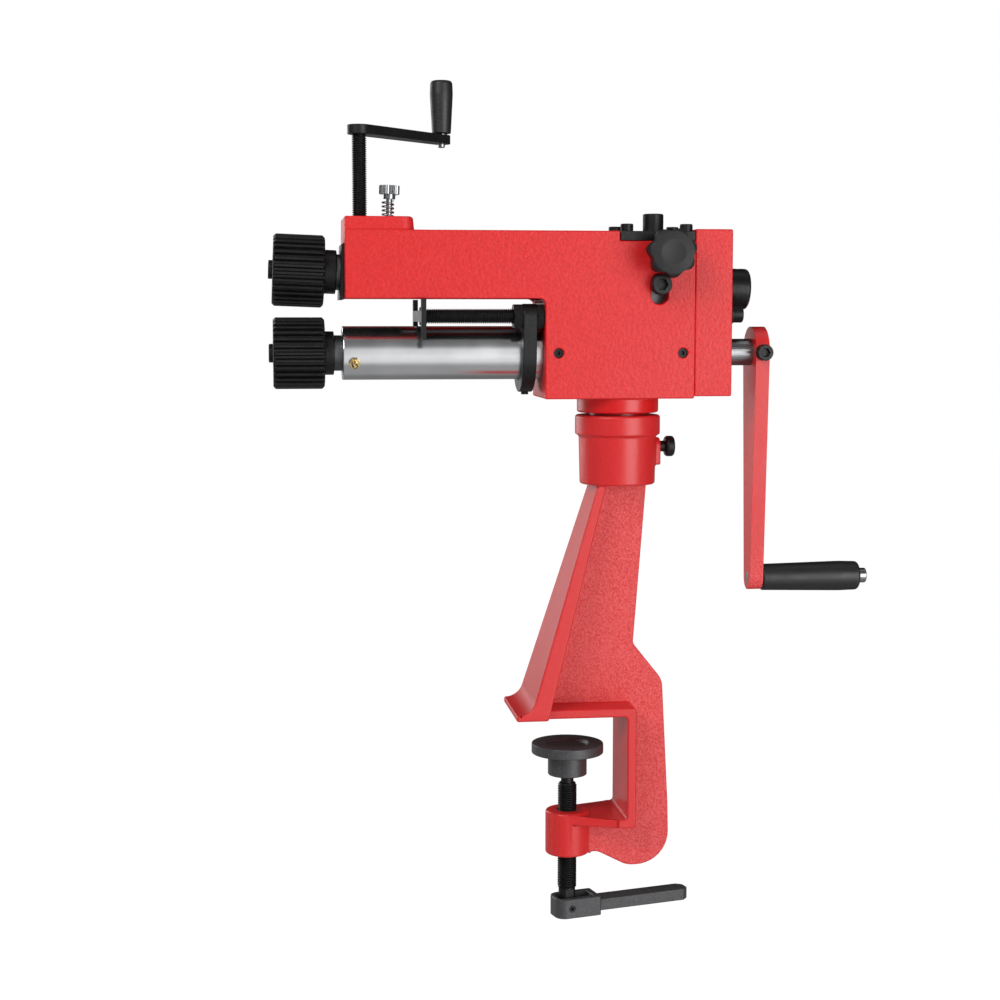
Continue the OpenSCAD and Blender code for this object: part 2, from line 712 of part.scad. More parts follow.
// The stud's lean over the platform, at rest and on average as the block goes down
spring_lean = (knurl_rise + spring_seat_depth) / 2 * tan(rocker_angle);
stud_sway = (platform_top_z - pivot_z) / 2 * tan(rocker_angle);
stud_hole_x = stud_x - knurl_rise * tan(rocker_angle) - stud_sway;
module spring_stud() {
    color("#c9cbce") rocking() translate([stud_u, 0, 0]) {
        translate([0, 0, bush_d / 2 + side_gap]) cylinder(stud_h - neck_l - bush_d / 2 - side_gap,
            d = spring_stud_d);
        translate([0, 0, stud_h - neck_l]) cylinder(neck_l, d = neck_d);
        translate([0, 0, stud_h]) intersection() {
            linear_extrude(knurl_t) polygon([for (k = [0:2 * knurl_count - 1])
                let (a = 180 * k / knurl_count) knurl_d / 2 * (1 - (k % 2) * 2 * knurl_share)
                * [cos(a), sin(a)]]);
            turned([[0, 0, 0], [knurl_d / 2, 0, knurl_d * knurl_share],
                [knurl_d / 2, knurl_t, knurl_d * knurl_share], [0, knurl_t, 0]]);
        }
    }
}
spring_low_z = platform_top_z - spring_seat_depth;
spring_high_z = platform_top_z + knurl_rise - neck_l - side_gap;
spring_mean_r = (spring_d - wire_d) / 2;
spring_end_share = 0.6;
spring_pitch = (spring_high_z - spring_low_z - 2 * spring_end_share * wire_d) / spring_turns;
function curl_point(k) = let (a = 360 * k / curl_rings)
    [spring_mean_r * cos(a), spring_mean_r * sin(a), spring_pitch * k / curl_rings];
function curl_ring(k) = let (a = 360 * k / curl_rings, out = [cos(a), sin(a), 0])
    [for (s = [0:wire_sides - 1]) let (b = 360 * s / wire_sides)
        curl_point(k) + wire_d / 2 * (out * cos(b) + [0, 0, sin(b)])];
curl_last = spring_turns * curl_rings;
spring_gap = spring_pitch - wire_d;
echo(least_gap_between_the_spring_curls = spring_gap);
module return_spring() {
    points = [for (k = [0:curl_last]) each curl_ring(k)];
    walls = [for (k = [0:curl_last - 1], s = [0:wire_sides - 1]) let (
        a = k * wire_sides + s, b = k * wire_sides + (s + 1) % wire_sides,
        c = a + wire_sides, d = b + wire_sides) each [[a, c, b], [b, c, d]]];
    first_cap = [for (s = [1:wire_sides - 2]) [0, s, s + 1]];
    last_cap = [for (s = [1:wire_sides - 2]) let (e = curl_last * wire_sides) [e, e + s + 1, e + s]];
    color("#d3d5d8") translate([stud_x - spring_lean, 0, spring_low_z + spring_end_share * wire_d])
        polyhedron(points, concat(walls, first_cap, last_cap));
}

// Rolls with interlocking ridges, half a pitch apart on the two shafts
// Points along a ridge, as shares of the pitch and of the depth below its top
ridge_shares = [[-0.3, 1], [-0.21, 0.2], [-0.136, 0], [0.136, 0], [0.21, 0.2], [0.3, 1]];
roll_chamfer = 2;
key_w = 6;
key_h = 6;
roll_key_l = 22;
gear_key_l = 16;
roll_screw_room = 9;
roll_room_d = 26;
nose_gap = 0.5;
module ridged_profile(phase) {
    polygon([for (k = [0:ridge_count - 1], s = ridge_shares)
        let (a = phase + (k + s[0]) * 360 / ridge_count)
            (roll_d / 2 - s[1] * ridge_depth) * [cos(a), sin(a)]]);
}
// A roll from x = 0 to its width, with a ridge at the given angle
module roll(phase) {
    difference() {
        intersection() {
            rotate([0, 90, 0]) linear_extrude(roll_w) ridged_profile(phase);
            rotate([0, 90, 0]) turned([[0, 0, 0], [roll_d / 2 - roll_chamfer, 0, 0],
                [roll_d / 2, roll_chamfer, 0], [roll_d / 2, roll_w - roll_chamfer, 0],
                [roll_d / 2 - roll_chamfer, roll_w, 0], [0, roll_w, 0]]);
        }
        x_rod(-over, roll_w + over, shaft_r + still_fit);
        x_rod(-over, roll_screw_room, roll_room_d / 2);
        block([-over, -key_w / 2 - still_fit, 0],
            [roll_w + over, key_w / 2 + still_fit, shaft_r + key_h / 2 + still_fit]);
    }
}
module roll_screw() {
    washer_t = 2.5;
    head_t = roll_screw_room - washer_t + block_proud + nose_gap;
    color("#19191a") translate([roll_screw_room, 0, 0]) rotate([0, -90, 0]) {
        difference() {
            cylinder(washer_t, r = roll_room_d / 2 - nose_gap);
            translate([0, 0, -over]) cylinder(washer_t, r = roll_screw_d / 2);
        }
        translate([0, 0, washer_t]) cap_screw(trunnion_head_d - over, head_t, roll_screw_d,
            washer_t + roll_screw_l);
    }
}
roll_screw_d = 10;
roll_screw_l = 20;
// A shaft from the roll's seat to the given end, with its keyways
module keyed_shaft(x0, x1, gear_x) {
    difference() {
        x_rod(x0, x1, shaft_r);
        for (span = [[x0 - over, x0 + roll_key_l], [gear_x, gear_x + gear_key_l]])
            block([span[0], -key_w / 2 - still_fit, shaft_r - key_h / 2],
                [span[1], key_w / 2 + still_fit, shaft_d]);
        x_rod(x0 - over, x0 + roll_screw_l + over, roll_screw_d / 2 + still_fit);
    }
}
module keys(x0, gear_x) {
    for (span = [[x0, x0 + roll_key_l - side_gap], [gear_x + still_fit, gear_x + gear_key_l - still_fit]])
        block([span[0], -key_w / 2, shaft_r - key_h / 2 + still_fit],
            [span[1], key_w / 2, shaft_r + key_h / 2]);
}
module spacer(x0, l) {
    difference() {
        translate([x0, 0, 0]) rotate([0, 90, 0]) turned([[0, 0, 0], [spacer_d / 2, 0, edge_r / 2],
            [spacer_d / 2, l, edge_r / 2], [0, l, 0]]);
        x_rod(x0 - over, x0 + l + over, shaft_r + still_fit);
    }
}

// Involute gear, with a tooth pointing at the given angle
pressure_angle = 20;
gear_root_share = 1.25;
gear_foot_share = 1.1;
flank_steps = 5;
function involute(base, r) = let (roll_on = sqrt((r / base) * (r / base) - 1) * 180 / PI)
    roll_on - atan(roll_on * PI / 180);
module gear_profile(phase) {
    pitch_r = gear_module * gear_teeth / 2;
    base_r = pitch_r * cos(pressure_angle);
    tip_r = pitch_r + gear_module;
    root_r = pitch_r - gear_root_share * gear_module;
    half = 90 / gear_teeth + involute(base_r, pitch_r);
    flank = [for (k = [0:flank_steps]) let (r = max(base_r, root_r) + (tip_r - max(base_r, root_r))
        * k / flank_steps) [half - involute(base_r, r), r]];
    rising = concat([[half * gear_foot_share, root_r]], flank);
    polygon([for (k = [0:gear_teeth - 1]) let (mid = phase + 360 * k / gear_teeth) each concat(
        [for (p = rising) p[1] * [cos(mid - p[0]), sin(mid - p[0])]],
        [for (i = [len(rising) - 1:-1:0]) let (p = rising[i])
            p[1] * [cos(mid + p[0]), sin(mid + p[0])]])]);
}
module gear(phase) {
    difference() {
        rotate([0, 90, 0]) linear_extrude(gear_w) gear_profile(phase);
        x_rod(-over, gear_w + over, shaft_r + still_fit);
        block([-over, -key_w / 2 - still_fit, 0],
            [gear_w + over, key_w / 2 + still_fit, shaft_r + key_h / 2 + still_fit]);
    }
}
gear_gap = (cover_t - cover_rear_wall - gear_w) / 2;
gear_x = gearbox_back_x + gear_gap;
key_inset = (gear_w - gear_key_l) / 2;
shaft_nose_x = roll_front_x + roll_screw_room + nose_gap;

// Upper shaft and what turns with it, in the rocking frame
collar_rim = 3;
rear_collar_d = 33.5;
rear_collar_l = 20;
module upper_shaft() {
    color("#9b9da0") rocking() keyed_shaft(shaft_nose_x - pivot_x,
        cover_back_x + side_gap + rear_collar_l - collar_rim - pivot_x, gear_x + key_inset - pivot_x);
}
module upper_keys() {
    color("#8a8c8f") rocking() keys(shaft_nose_x - pivot_x, gear_x + key_inset - pivot_x);
}
module upper_roll() {
    color("#1c1c1d") rocking() translate([roll_front_x - pivot_x, 0, 0]) roll(0);
}
module upper_roll_screw() {
    rocking() translate([roll_front_x - pivot_x, 0, 0]) roll_screw();
}
module upper_spacer() {
    color("#1f1f20") rocking() spacer(roll_back_x - pivot_x, upper_spacer_l);
}
module upper_gear() {
    color("#77797b") rocking() translate([gear_x - pivot_x, 0, 0]) gear(0);
}
module rear_collar() {
    x0 = cover_back_x + 3 * side_gap - pivot_x;
    color("#1d1d1e") rocking() difference() {
        translate([x0, 0, 0]) rotate([0, 90, 0]) turned([[0, 0, 0], [rear_collar_d / 2, 0, edge_r / 2],
            [rear_collar_d / 2, rear_collar_l, collar_rim], [0, rear_collar_l, 0]]);
        x_rod(x0 - over, x0 + rear_collar_l - collar_rim, shaft_r + still_fit);
        translate([x0 + rear_collar_l / 2, 0, 0]) cylinder(rear_collar_d, d = collar_screw_d + 2 * still_fit);
    }
}
collar_screw_d = 6;
module rear_collar_screw() {
    x0 = cover_back_x + 3 * side_gap - pivot_x;
    color("#303132") rocking() translate([x0 + rear_collar_l / 2, 0, shaft_r + still_fit]) difference() {
        cylinder(rear_collar_d / 2 - shaft_r - over, d = collar_screw_d);
        translate([0, 0, collar_screw_d / 3]) cylinder(rear_collar_d, d = collar_screw_d / 2, $fn = 6);
    }
}

// Lower shaft and what turns with it
crank_gap = 24;
crank_x = cover_back_x + crank_gap;
module on_lower_axis(x) {
    translate([x, 0, shaft_z]) children();
}
module lower_shaft() {
    color("#9b9da0") on_lower_axis(0) keyed_shaft(shaft_nose_x, crank_x + crank_t - over,
        gear_x + key_inset);
}
module lower_keys() {
    color("#8a8c8f") on_lower_axis(0) keys(shaft_nose_x, gear_x + key_inset);
}
module lower_roll() {
    color("#1c1c1d") on_lower_axis(roll_front_x) roll(180 / ridge_count);
}
module lower_roll_screw() {
    on_lower_axis(roll_front_x) roll_screw();
}
module lower_spacer() {
    color("#1f1f20") on_lower_axis(0) spacer(roll_back_x, lower_spacer_l);
}
module lower_gear() {
    color("#77797b") on_lower_axis(gear_x) gear(180 / gear_teeth);
}

// Main crank, hanging down, with its clamp screw, pin and grip
crank_end_d = 20;
crank_screw_d = 8;
crank_screw_head_d = 13;
crank_screw_head_t = 8;
crank_pin_d = 10;
crank_pin_head_d = 12.5;
crank_pin_head_t = 6.5;
grip_taper = 3;
grip_belly_share = 0.8;
module crank_arm() {
    color("#c8151b") on_lower_axis(crank_x) difference() {
        rotate([0, 90, 0]) linear_extrude(crank_t)
            polygon(link_outline(crank_hub_d / 2, crank_end_d / 2, crank_l));
        x_rod(-over, crank_t + over, shaft_r + still_fit);
        x_rod(-over, crank_t + over, crank_pin_d / 2 + still_fit, -crank_l);
        y_rod(-crank_hub_d, 0, crank_screw_d / 2 + still_fit, crank_t / 2);
    }
}
module crank_arm_screw() {
    color("#1b1b1c") on_lower_axis(crank_x) translate([crank_t / 2, -crank_hub_d / 2 - side_gap, 0])
        rotate([90, 0, 0]) cap_screw(crank_screw_head_d, crank_screw_head_t, crank_screw_d,
            crank_hub_d / 2 - shaft_r);
}
module crank_pin() {
    grip_end = crank_t + side_gap + grip_l;
    color("#c9cbce") on_lower_axis(crank_x) translate([0, 0, -crank_l]) {
        x_rod(0, grip_end + side_gap, crank_pin_d / 2);
        translate([grip_end + side_gap, 0, 0]) rotate([0, 90, 0])
            turned([[0, 0, 0], [crank_pin_head_d / 2, 0, over / 2],
                [crank_pin_head_d / 2, crank_pin_head_t, over], [0, crank_pin_head_t, 0]]);
    }
}
module crank_grip() {
    color("#1a1a1b") on_lower_axis(crank_x) translate([crank_t + side_gap, 0, -crank_l])
        difference() {
            rotate([0, 90, 0]) turned([[0, 0, 0], [(grip_d - grip_taper) / 2, 0, grip_taper / 2],
                [grip_d / 2, grip_l * grip_belly_share, grip_l],
                [grip_d / 2 - grip_taper / 6, grip_l, grip_taper],
                [0, grip_l, 0]]);
            x_rod(-over, grip_l + over, crank_pin_d / 2 + run_fit);
        }
}

// Pressure screw with its crank, its grip and the button under its tip
press_hub_d = 19;
press_end_d = 15;
press_crank_t = 7.5;
press_turn = 46.5;
press_pin_d = 6;
press_pin_below = 3;
press_grip_d = 19.5;
press_grip_foot_d = 16;
press_grip_belly_share = 0.75;
press_pin_reach_share = 0.8;
press_collar_d = 9.6;
dog_d = 8;
dog_l = 4;
button_d = 13;
button_t = 5;
press_x = arm_front_x + platform_screw_x;
// The tip stands on the raised block's pocket floor
press_u = press_x - pivot_x;
button_low_z = pivot_z - press_u * sin(rocker_angle) + (block_half_h - button_pocket) * cos(rocker_angle)
    + 2 * side_gap;
screw_tip_z = button_low_z + button_t;
press_crank_z = platform_top_z + press_rise;
module thrust_button() {
    color("#9b9da0") translate([press_x, 0, button_low_z]) difference() {
        turned([[0, 0, 0], [button_d / 2, 0, over], [button_d / 2, button_t, over / 2], [0, button_t, 0]]);
        translate([0, 0, button_t - dog_l + side_gap]) cylinder(button_t, r = dog_d / 2 + run_fit);
    }
}
module pressure_screw() {
    color("#161617") translate([press_x, 0, screw_tip_z]) {
        translate([0, 0, 2 * side_gap - dog_l]) cylinder(dog_l, d = dog_d);
        translate([0, 0, side_gap]) cylinder(press_crank_z + press_crank_t - over - 2 * side_gap - screw_tip_z,
            d = press_d);
    }
}
module press_frame() {
    translate([press_x, 0, press_crank_z]) rotate([0, 0, press_turn]) children();
}
module pressure_crank() {
    color("#1d1d1e") press_frame() difference() {
        linear_extrude(press_crank_t)
            polygon(link_outline(press_hub_d / 2, press_end_d / 2, press_crank_l));
        translate([0, 0, -over]) cylinder(press_crank_t, d = press_d + 2 * still_fit);
        translate([press_crank_l, 0, -over])
            cylinder(press_crank_t + 2 * over, d = press_pin_d + 2 * still_fit);
    }
}
module pressure_grip_pin() {
    pin_l = press_pin_below + press_crank_t + press_grip_l * press_pin_reach_share;
    color("#c9cbce") press_frame() translate([press_crank_l, 0, 0]) {
        translate([0, 0, -press_pin_below]) turned([[0, 0, 0], [press_pin_d / 2, 0, over],
            [press_pin_d / 2, pin_l, over / 2], [0, pin_l, 0]]);
        translate([0, 0, press_crank_t]) cylinder(over, d = press_collar_d);
    }
}
module pressure_grip() {
    color("#1a1a1b") press_frame() translate([press_crank_l, 0, press_crank_t + over + side_gap])
        difference() {
            turned([[0, 0, 0], [press_grip_foot_d / 2, 0, over],
                [press_grip_d / 2, press_grip_l * press_grip_belly_share, press_grip_l],
                [press_grip_d / 2 - over / 2, press_grip_l, grip_taper], [0, press_grip_l, 0]]);
            translate([0, 0, -over]) cylinder(press_grip_l * press_pin_reach_share + over,
                r = press_pin_d / 2 + run_fit);
        }
}

// Depth stop: a ring with an ear on the barrel, a threaded rod beside it and a fork
lug_t = 10.9;
lug_d = 64;
lug_back = 6.5;
lug_ear_r = 10;
rod_rise = 29.5;
rod_y = -24;
nut_across = 19;
front_nut_t = 7.5;
back_nut_t = 6;
lug_screw_d = 6;
lug_screw_proud = 2;
lug_x = gearbox_front_x - lug_back - lug_t;
// The rod ends inside its rear nut, clear of the casting's throat
rod_grip = 2;
rod_end_x = lug_x + lug_t + rod_grip;
rod_z = shaft_z + rod_rise;
fork_t = 4;
fork_bar_w = 6;
fork_cross_h = 9;
fork_drop = 18.5;
fork_ring_t = 1.2;
module gauge_lug() {
    color("#232324") difference() {
        translate([lug_x, 0, shaft_z]) rotate([0, 90, 0]) rotate([0, 0, atan2(rod_y, -rod_rise)])
            linear_extrude(lug_t)
                polygon(link_outline(lug_d / 2, lug_ear_r, norm([rod_y, rod_rise])));
        x_rod(lug_x - over, lug_x + lug_t + over, barrel_d / 2 + run_fit, shaft_z);
        x_rod(lug_x - over, lug_x + lug_t + over, rod_d / 2 + run_fit, rod_z, rod_y);
        translate([lug_x + lug_t / 2, 0, shaft_z - lug_d])
            cylinder(lug_d, d = lug_screw_d + 2 * still_fit);
    }
}
module gauge_lug_screw() {
    low_z = shaft_z - lug_d / 2 - lug_screw_proud;
    color("#151516") translate([lug_x + lug_t / 2, 0, low_z])
        cylinder(shaft_z - barrel_d / 2 - side_gap - low_z, d = lug_screw_d);
}
// A hexagon nut along X, with chamfered corners
module gauge_nut(t) {
    corner_r = nut_across / sqrt(3);
    rotate([0, 90, 0]) difference() {
        intersection() {
            rotate([0, 0, 30]) cylinder(t, r = corner_r, $fn = 6);
            turned([[0, 0, 0], [nut_across / 2, 0, 0], [corner_r, over, 0], [corner_r, t - over, 0],
                [nut_across / 2, t, 0], [0, t, 0]]);
        }
        translate([0, 0, -over]) cylinder(t + 2 * over, r = rod_d / 2 + run_fit);
    }
}
module gauge_nuts() {
    color("#1b1b1c") {
        translate([lug_x - front_nut_t, rod_y, rod_z]) gauge_nut(front_nut_t);
        translate([lug_x + lug_t, rod_y, rod_z]) gauge_nut(back_nut_t);
    }
}
module gauge_rod() {
    color("#161617") x_rod(rod_end_x - rod_l, rod_end_x, rod_d / 2, rod_z, rod_y);
}
module gauge_fork() {
    x = rod_end_x - rod_l - fork_t / 2;
    color("#1f1f20") difference() {
        union() {
            for (s = [-1, 1]) block([x, s * fork_w / 2 - fork_bar_w / 2, rod_z - fork_drop],
                [x + fork_t, s * fork_w / 2 + fork_bar_w / 2, rod_z - fork_drop + fork_h]);
            block([x, -fork_w / 2, rod_z - fork_cross_h / 2],
                [x + fork_t, fork_w / 2, rod_z + fork_cross_h / 2]);
            x_rod(x, x + fork_t, rod_d / 2 + fork_ring_t, rod_z, rod_y);
        }
        x_rod(x + fork_t / 2, x + 2 * fork_t, rod_d / 2 + still_fit, rod_z, rod_y);
    }
}

// Clamp screw with its swivelling pad and its pinned lever
pad_rim_t = 8.5;
pad_hub_d = 32.5;
pad_hub_h = 18.5;
pad_dish = 2.5;
pad_rim_w = 12;
clamp_neck_d = 10.6;
clamp_neck_l = 7;
clamp_tip_l = 10;
clamp_thread_l = 91;
clamp_end_d = 14;
clamp_end_l = 20;
clamp_flat = 12;
pad_top_z = -pad_drop;
pad_low_z = pad_top_z - pad_rim_t - pad_hub_h;
thread_top_z = pad_low_z - clamp_neck_l;
thread_low_z = thread_top_z - clamp_thread_l;
module clamp_pad() {
    color("#1b1b1c") difference() {
        translate([0, 0, pad_low_z]) turned([[0, 0, 0], [pad_hub_d / 2, 0, over],
            [pad_hub_d / 2, pad_hub_h, over], [pad_d / 2, pad_hub_h, over],
            [pad_d / 2, pad_hub_h + pad_rim_t, over], [pad_d / 2 - pad_rim_w, pad_hub_h + pad_rim_t, over],
            [pad_d / 2 - pad_rim_w - pad_dish, pad_hub_h + pad_rim_t - pad_dish, over],
            [0, pad_hub_h + pad_rim_t - pad_dish, 0]]);
        translate([0, 0, pad_low_z - over]) cylinder(clamp_tip_l + over, r = clamp_neck_d / 2 + run_fit);
    }
}
module clamp_screw() {
    color("#161617") difference() {
        union() {
            translate([0, 0, thread_top_z - over])
                cylinder(clamp_neck_l + clamp_tip_l + over - side_gap, d = clamp_neck_d);
            translate([0, 0, thread_low_z]) turned([[0, 0, 0], [clamp_d / 2, 0, over],
                [clamp_d / 2, clamp_thread_l, 2 * over], [0, clamp_thread_l, 0]]);
            intersection() {
                translate([0, 0, thread_low_z - clamp_end_l + over])
                    cylinder(clamp_end_l, d = clamp_end_d);
                rotate([0, 0, lever_turn]) block([-clamp_end_d, -clamp_flat / 2, lever_pin_z - lever_head_h],
                    [clamp_end_d, clamp_flat / 2, thread_low_z + over]);
            }
        }
        rotate([0, 0, lever_turn]) y_rod(-clamp_d, clamp_d, lever_pin_d / 2 + run_fit, 0, lever_pin_z);
    }
}
lever_turn = 14;
lever_drop = 6.5;
lever_head_h = 16.5;
lever_head_w = 25;
lever_head_l = 39;
lever_front = -12.5;
lever_cheek = 5.5;
lever_floor_t = 2.7;
lever_slot_room = 2;
lever_bar_drop = 4;
lever_bar_w = 17;
lever_bar_h = 10;
lever_bar_end = 5;
lever_pin_d = 5;
lever_pin_sink = 0.5;
lever_top_z = thread_low_z - lever_drop;
lever_pin_z = lever_top_z - lever_head_h / 2;
lever_back = lever_front + lever_head_l;
module clamp_lever() {
    low = lever_top_z - lever_head_h;
    slot_x = clamp_end_d / 2 + lever_slot_room;
    color("#242425") rotate([0, 0, lever_turn]) difference() {
        union() {
            translate([0, 0, low]) linear_extrude(lever_head_h) polygon(rounded([
                [lever_front, -lever_head_w / 2, lever_head_w / 3],
                [lever_back, -lever_head_w / 2, edge_r],
                [lever_back, lever_head_w / 2, edge_r],
                [lever_front, lever_head_w / 2, lever_head_w / 3]]));
            translate([0, 0, lever_top_z - lever_bar_drop - lever_bar_h]) linear_extrude(lever_bar_h)
                polygon([[lever_back - over, -lever_bar_w / 2],
                    [lever_l - lever_bar_end, -lever_bar_w / 2], [lever_l, -lever_bar_w / 4],
                    [lever_l, lever_bar_w / 4], [lever_l - lever_bar_end, lever_bar_w / 2],
                    [lever_back - over, lever_bar_w / 2]]);
        }
        block([-slot_x, -lever_head_w / 2 + lever_cheek, low + lever_floor_t],
            [lever_back - lever_cheek, lever_head_w / 2 - lever_cheek, lever_top_z + over]);
        y_rod(-lever_head_w, lever_head_w, lever_pin_d / 2 + run_fit, 0, lever_pin_z);
    }
}
module clamp_lever_pin() {
    end_y = lever_head_w / 2 - lever_pin_sink;
    color("#0f0f10") rotate([0, 0, lever_turn]) difference() {
        y_rod(-end_y, end_y, lever_pin_d / 2, 0, lever_pin_z);
        translate([0, lever_pin_d / 2 - end_y, lever_pin_z]) rotate([90, 0, 0])
            cylinder(lever_pin_d / 2 + over, d = lever_pin_d / 2, $fn = 6);
    }
}

stand_casting();
socket_lock_screw();
head_casting();
head_spigot();
rear_cover();
cover_screws();
lower_barrel();
grease_nipple();
barrel_front_bush();
lower_rear_bush();
cover_bush();
bearing_set_screws();
bridge_plate();
bridge_screws();
return_spring();
star_knob();
star_knob_stud();
pivot_adjust_screw();
front_block();
front_block_bush();
rear_block();
rear_block_bush();
trunnion_screws();
spring_stud();
upper_shaft();
upper_roll();
upper_roll_screw();
upper_spacer();
upper_gear();
upper_keys();
rear_collar();
rear_collar_screw();
lower_shaft();
lower_roll();
lower_roll_screw();
lower_spacer();
lower_gear();
lower_keys();
crank_arm();
crank_arm_screw();
crank_pin();
crank_grip();
thrust_button();
pressure_screw();
pressure_crank();
pressure_grip_pin();
pressure_grip();
gauge_lug();
gauge_lug_screw();
gauge_nuts();
gauge_rod();
gauge_fork();
clamp_pad();
clamp_screw();
clamp_lever();
clamp_lever_pin();
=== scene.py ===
# %% [markdown]
# # A hand-cranked bead roller
#
# The machine is built like most small cast tools: painted castings carry turned shafts, and everything
# else is bought in as screws, knobs and grips. So this lesson has four parts. First come the finishes,
# each named for how the real surface is made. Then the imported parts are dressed, with the small rounded
# edges that castings and turned steel have. Next come the threads, the spring and the knurled screw
# heads, which follow rules and so suit Geometry Nodes. The studio's walls, floor and lamps come last.

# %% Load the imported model
import math

import bmesh
import bpy
from mathutils import Matrix, Vector
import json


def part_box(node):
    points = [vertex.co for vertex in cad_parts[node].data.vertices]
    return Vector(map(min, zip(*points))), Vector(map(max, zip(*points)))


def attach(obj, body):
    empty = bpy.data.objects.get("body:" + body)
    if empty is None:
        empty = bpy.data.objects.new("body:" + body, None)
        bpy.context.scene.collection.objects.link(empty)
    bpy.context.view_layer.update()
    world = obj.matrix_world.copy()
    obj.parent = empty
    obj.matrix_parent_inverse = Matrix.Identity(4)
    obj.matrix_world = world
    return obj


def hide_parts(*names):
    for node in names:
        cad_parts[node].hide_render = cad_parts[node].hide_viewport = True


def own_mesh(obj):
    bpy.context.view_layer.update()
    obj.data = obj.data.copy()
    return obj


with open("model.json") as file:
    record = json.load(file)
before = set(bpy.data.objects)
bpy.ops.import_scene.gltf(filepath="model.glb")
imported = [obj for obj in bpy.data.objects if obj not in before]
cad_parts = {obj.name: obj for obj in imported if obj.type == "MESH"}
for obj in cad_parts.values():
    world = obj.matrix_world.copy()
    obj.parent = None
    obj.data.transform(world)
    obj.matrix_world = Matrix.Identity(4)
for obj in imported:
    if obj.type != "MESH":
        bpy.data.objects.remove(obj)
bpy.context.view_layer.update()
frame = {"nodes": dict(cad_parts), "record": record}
nodes = frame["nodes"]
body_of = {node: body for body, held in frame["record"]["behaviour"]["bodies"].items() for node in held}
MM = 0.001

# %% [markdown]
# ## Camera
#
# The photograph was taken from the operator's side, a little above the rolls, with a long lens. A fitted
# pinhole camera gives the place, the aim and the lens, so the frame needs no shift.

# %% Place the camera
CAMERA_PLACE = (-0.25143, -1.49999, 0.32727)
CAMERA_DOWN = 5.663
CAMERA_RIGHT = 7.392
LENS = 66.6
SENSOR = 36.0
CLIP_END = 50.0

camera_data = bpy.data.cameras.new("camera")
camera_data.lens = LENS
camera_data.sensor_width = SENSOR
camera_data.clip_end = CLIP_END
camera = bpy.data.objects.new("camera", camera_data)
camera.location = CAMERA_PLACE
camera.rotation_euler = (math.radians(90 - CAMERA_DOWN), 0, math.radians(-CAMERA_RIGHT))
bpy.context.scene.collection.objects.link(camera)
bpy.context.scene.camera = camera
bpy.context.scene.view_settings.view_transform = "Standard"
print(f"camera with a {LENS} mm lens at {CAMERA_PLACE}")

# %% [markdown]
# ## Tools for materials
#
# Colours are easiest to think of as the hex values that a paint chart gives. Blender mixes light in
# linear values, so one function turns hex into linear. Another adds a node, sets its sockets and links
# them, which keeps each finish below down to what makes it special.

# %% Helpers for colours and nodes
def linear(colour):
    """The linear red, green, blue and alpha of a hex colour, by the numbers of the sRGB standard."""
    values = [int(colour[i:i + 2], 16) / 255 for i in (1, 3, 5)]
    return [v / 12.92 if v <= 0.04045 else ((v + 0.055) / 1.055) ** 2.4 for v in values] + [1.0]


def add(tree, kind, values=None, **settings):
    """Adds a node. Settings are its options, and values set or link its inputs by name or number."""
    node = tree.nodes.new(kind)
    for option, setting in settings.items():
        setattr(node, option, setting)
    for key, value in (values or {}).items():
        if isinstance(value, bpy.types.NodeSocket):
            tree.links.new(value, node.inputs[key])
        else:
            node.inputs[key].default_value = value
    return node


def finish(name, **surface):
    """A new material with its shader's sockets set, its node tree and the shader."""
    material = bpy.data.materials.new(name)
    material.use_nodes = True
    shader = material.node_tree.nodes["Principled BSDF"]
    for socket, value in surface.items():
        shader.inputs[socket.replace("_", " ")].default_value = value
    return material, material.node_tree, shader


print(f"red enamel in linear values: {[round(v, 3) for v in linear('#d2232a')]}")

# %% [markdown]
# ## Noise with a real size
#
# Most finishes vary in small lumps. At a scale of one the noise has lumps of about half a unit, so half a
# unit over the size that is wanted gives the scale. Nearly all its values lie between 0.3 and 0.7. That
# middle is stretched over the whole range, so that a finish reaches both its colours and both its glosses.

# %% Helpers for lumps
NOISE_LUMP = 0.5
NOISE_RANGE = {"From Min": 0.3, "From Max": 0.7}
EVEN = (1.0, 1.0, 1.0)


def lumps(tree, size, detail=2.0, stretch=EVEN):
    """Noise over the object's own coordinates, with lumps of about the given size in metres."""
    place = add(tree, "ShaderNodeTexCoord").outputs["Object"]
    scaled = add(tree, "ShaderNodeMapping", {"Vector": place, "Scale": stretch}).outputs[0]
    return add(tree, "ShaderNodeTexNoise", {"Vector": scaled, "Scale": NOISE_LUMP / size,
                                            "Detail": detail}).outputs["Fac"]


def spread(tree, amount, highest=1.0):
    """A noise stretched from nought to the highest share."""
    return add(tree, "ShaderNodeMapRange", {"Value": amount, **NOISE_RANGE, "To Max": highest}).outputs[0]


print(f"a lump of 1 mm takes a noise scale of {NOISE_LUMP / MM:.0f}")

# %% [markdown]
# ## Colour, gloss and relief
#
# One noise can run all three, as on a real surface, where what stands proud is also paler or duller. On the
# enamel the paler peaks are a painted highlight. The relief is a bump with a true depth in metres, so a
# finish keeps its scale when the light changes.

# %% Helpers for colour, gloss and relief
def tint(tree, shader, share, low, high):
    """Lets a share from nought to one run the base colour between two hex colours."""
    mixed = add(tree, "ShaderNodeMix", {"Factor": share, 6: linear(low), 7: linear(high)},
                data_type="RGBA")
    tree.links.new(mixed.outputs[2], shader.inputs["Base Color"])


def dull(tree, shader, amount, smoothest, roughest):
    """Lets a noise run the roughness between two values."""
    ranged = add(tree, "ShaderNodeMapRange", {"Value": amount, **NOISE_RANGE, "To Min": smoothest,
                                              "To Max": roughest})
    tree.links.new(ranged.outputs[0], shader.inputs["Roughness"])


